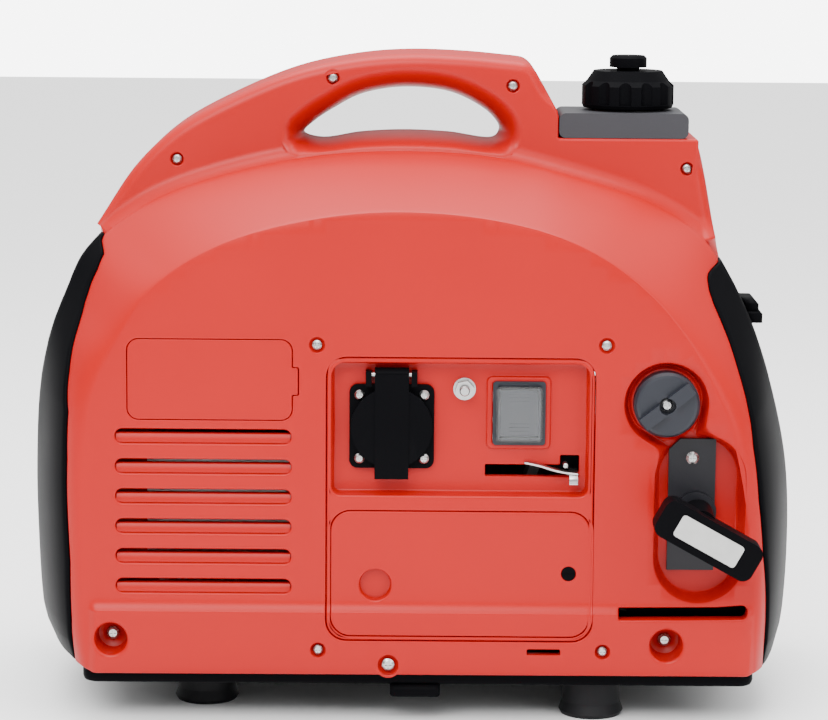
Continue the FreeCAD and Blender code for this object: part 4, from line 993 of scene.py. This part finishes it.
def oblong(half, thick):
    # a flat strip's section with rounded corners
    corner = 0.35
    spots = []
    for k, (a, b) in enumerate([(1, 1), (-1, 1), (-1, -1), (1, -1)]):
        for t in np.linspace(0, math.pi / 2, 5):
            turn = t + k * math.pi / 2
            spots.append((a * (half - corner) + corner * math.cos(turn),
                          b * (thick - corner) + corner * math.sin(turn)))
    return spots


def chokeLever():
    form = newForm()
    arm = curveThrough([(66, -99.8, 159.6), (74, -101.5, 158.2), (84, -103.2, 155.6), (93, -104.4, 154.2),
                        (97.5, -105, 154.0)], 40)
    sweep(form, arm, (0, 1, 0.1), oblong(2.4, 0.6))
    tab = curveThrough([(94.6, -92, 154.2), (94.6, -99, 154.2), (94.6, -104.5, 153.6), (94.6, -107.2, 151.4),
                        (94.6, -107.8, 147.6)], 30)
    sweep(form, tab, (1, 0, 0), oblong(2.6, 0.6))
    pin = np.linspace((89.8, -99, 158.8), (89.8, -107, 158.8), 6)
    pinRadius = 1.5
    ring = [(pinRadius * math.cos(t), pinRadius * math.sin(t))
            for t in np.linspace(0, 2 * math.pi, 20, endpoint=False)]
    sweep(form, pin, (1, 0, 0), ring)
    return form


placed("chokeArm", chokeLever(), "choke_lever", "choke")


cordRadius = 1.75
braidHeight = 0.08


def cordTube():
    # the starter rope: a braided tube from the pulley's rim, round the bushing and out to the grip
    form = newForm()
    route = [(145.2, -79, 152.8), (153, -79, 145.4), (160.5, -79, 138), (164.8, -80, 133), (167.2, -83, 130.8),
             (167.8, -88, 130.2), (167.8, -100, 130.2), (167.8, -116, 130.2), (167.8, -130.9, 130.2)]
    line = evenly(curveThrough(route, 400), 220, axes=3)
    way = np.gradient(line, axis=0)
    way /= np.linalg.norm(way, axis=1)[:, None]
    turn = np.linspace(0, 2 * math.pi, 24, endpoint=False)
    across = np.cross(way, [0.68, 0, 0.73])
    across /= np.linalg.norm(across, axis=1)[:, None]
    up = np.cross(across, way)
    rows = []
    for k, spot in enumerate(line):
        weave = np.sin(4 * turn + 0.9 * k) * np.sin(4 * turn - 0.9 * k)
        radius = (cordRadius + braidHeight * weave)[:, None]
        rows.append(spot + radius * (across[k] * np.cos(turn)[:, None] + up[k] * np.sin(turn)[:, None]))
    addGrid(form, rows, True)
    addEnds(form, rows)
    return form


rope = placed("starterCord", cordTube(), "starter_rope", None)
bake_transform(rope)
print("tray, choke and cord ready")


def makeMesh(name, points, faces, material, smooth=True):
    mesh = bpy.data.meshes.new(name)
    mesh.from_pydata([tuple(p) for p in points], [], [tuple(f) for f in faces])
    mesh.update()
    if smooth:
        mesh.polygons.foreach_set("use_smooth", [True] * len(mesh.polygons))
    obj = bpy.data.objects.new(name, mesh)
    scene.collection.objects.link(obj)
    mesh.materials.append(material)
    return obj


floorMat = bpy.data.materials.new("studioFloor")
floorMat.use_nodes = True
floorTree = floorMat.node_tree
floorNoise = nodeAt(floorTree, "ShaderNodeTexNoise", -500, 0, Scale=3.0, Detail=3.0)
floorTone = nodeAt(floorTree, "ShaderNodeMapRange", -250, 0)
floorTone.inputs["To Min"].default_value = 0.52
floorTone.inputs["To Max"].default_value = 0.62
floorTree.links.new(floorNoise.outputs["Fac"], floorTone.inputs["Value"])
floorBsdf = floorTree.nodes["Principled BSDF"]
floorBsdf.inputs["Base Color"].default_value = (0.93, 0.93, 0.93, 1)
floorTree.links.new(floorTone.outputs["Result"], floorBsdf.inputs["Roughness"])
size = 6.0
corners = [(-size, -size, 0), (size, -size, 0), (size, size, 0), (-size, size, 0)]
floor = makeMesh("floor", corners, [(0, 1, 2, 3)], floorMat, False)

world = bpy.data.worlds.new("studio")
scene.world = world
world.use_nodes = True
sky = world.node_tree
background = sky.nodes["Background"]
background.inputs["Color"].default_value = (1, 1, 1, 1)
# the camera sees a bright wall, and everything else is lit by a dim room under a brighter ceiling
skyWay = nodeAt(sky, "ShaderNodeTexCoord", -900, 0)
skySplit = nodeAt(sky, "ShaderNodeSeparateXYZ", -700, 0)
wall = nodeAt(sky, "ShaderNodeMapRange", -450, 100)
for name, value in (("From Min", 0.0), ("From Max", 1.0), ("To Min", 0.45), ("To Max", 7.0)):
    wall.inputs[name].default_value = value
seen = nodeAt(sky, "ShaderNodeLightPath", -700, 300)
ceiling = nodeAt(sky, "ShaderNodeMapRange", -450, -200, interpolation_type="SMOOTHSTEP")
for name, value in (("From Min", 0.1), ("From Max", 0.95), ("To Min", 0.0), ("To Max", 2.7)):
    ceiling.inputs[name].default_value = value
both = nodeAt(sky, "ShaderNodeMath", -200, 0, operation="ADD")
sky.links.new(skyWay.outputs["Generated"], skySplit.inputs["Vector"])
sky.links.new(seen.outputs["Is Camera Ray"], wall.inputs["Value"])
sky.links.new(skySplit.outputs["Z"], ceiling.inputs["Value"])
sky.links.new(wall.outputs["Result"], both.inputs[0])
sky.links.new(ceiling.outputs["Result"], both.inputs[1])
sky.links.new(both.outputs[0], background.inputs["Strength"])


def softbox(name, place, target, width, height, power):
    light = bpy.data.lights.new(name, "AREA")
    light.shape = "RECTANGLE"
    light.size = width
    light.size_y = height
    light.energy = power
    obj = bpy.data.objects.new(name, light)
    scene.collection.objects.link(obj)
    obj.location = place
    obj.rotation_euler = (Vector(target) - Vector(place)).to_track_quat("-Z", "Y").to_euler()
    return obj


softbox("key", (-0.5, -1.6, 1.5), (0, 0, 0.2), 1.4, 1.0, 50)
softbox("fill", (1.3, -1.2, 0.9), (0, 0, 0.2), 0.9, 1.2, 14)
softbox("top", (0, 0.1, 1.7), (0, 0, 0.3), 1.4, 0.9, 38)
print("lights ready")
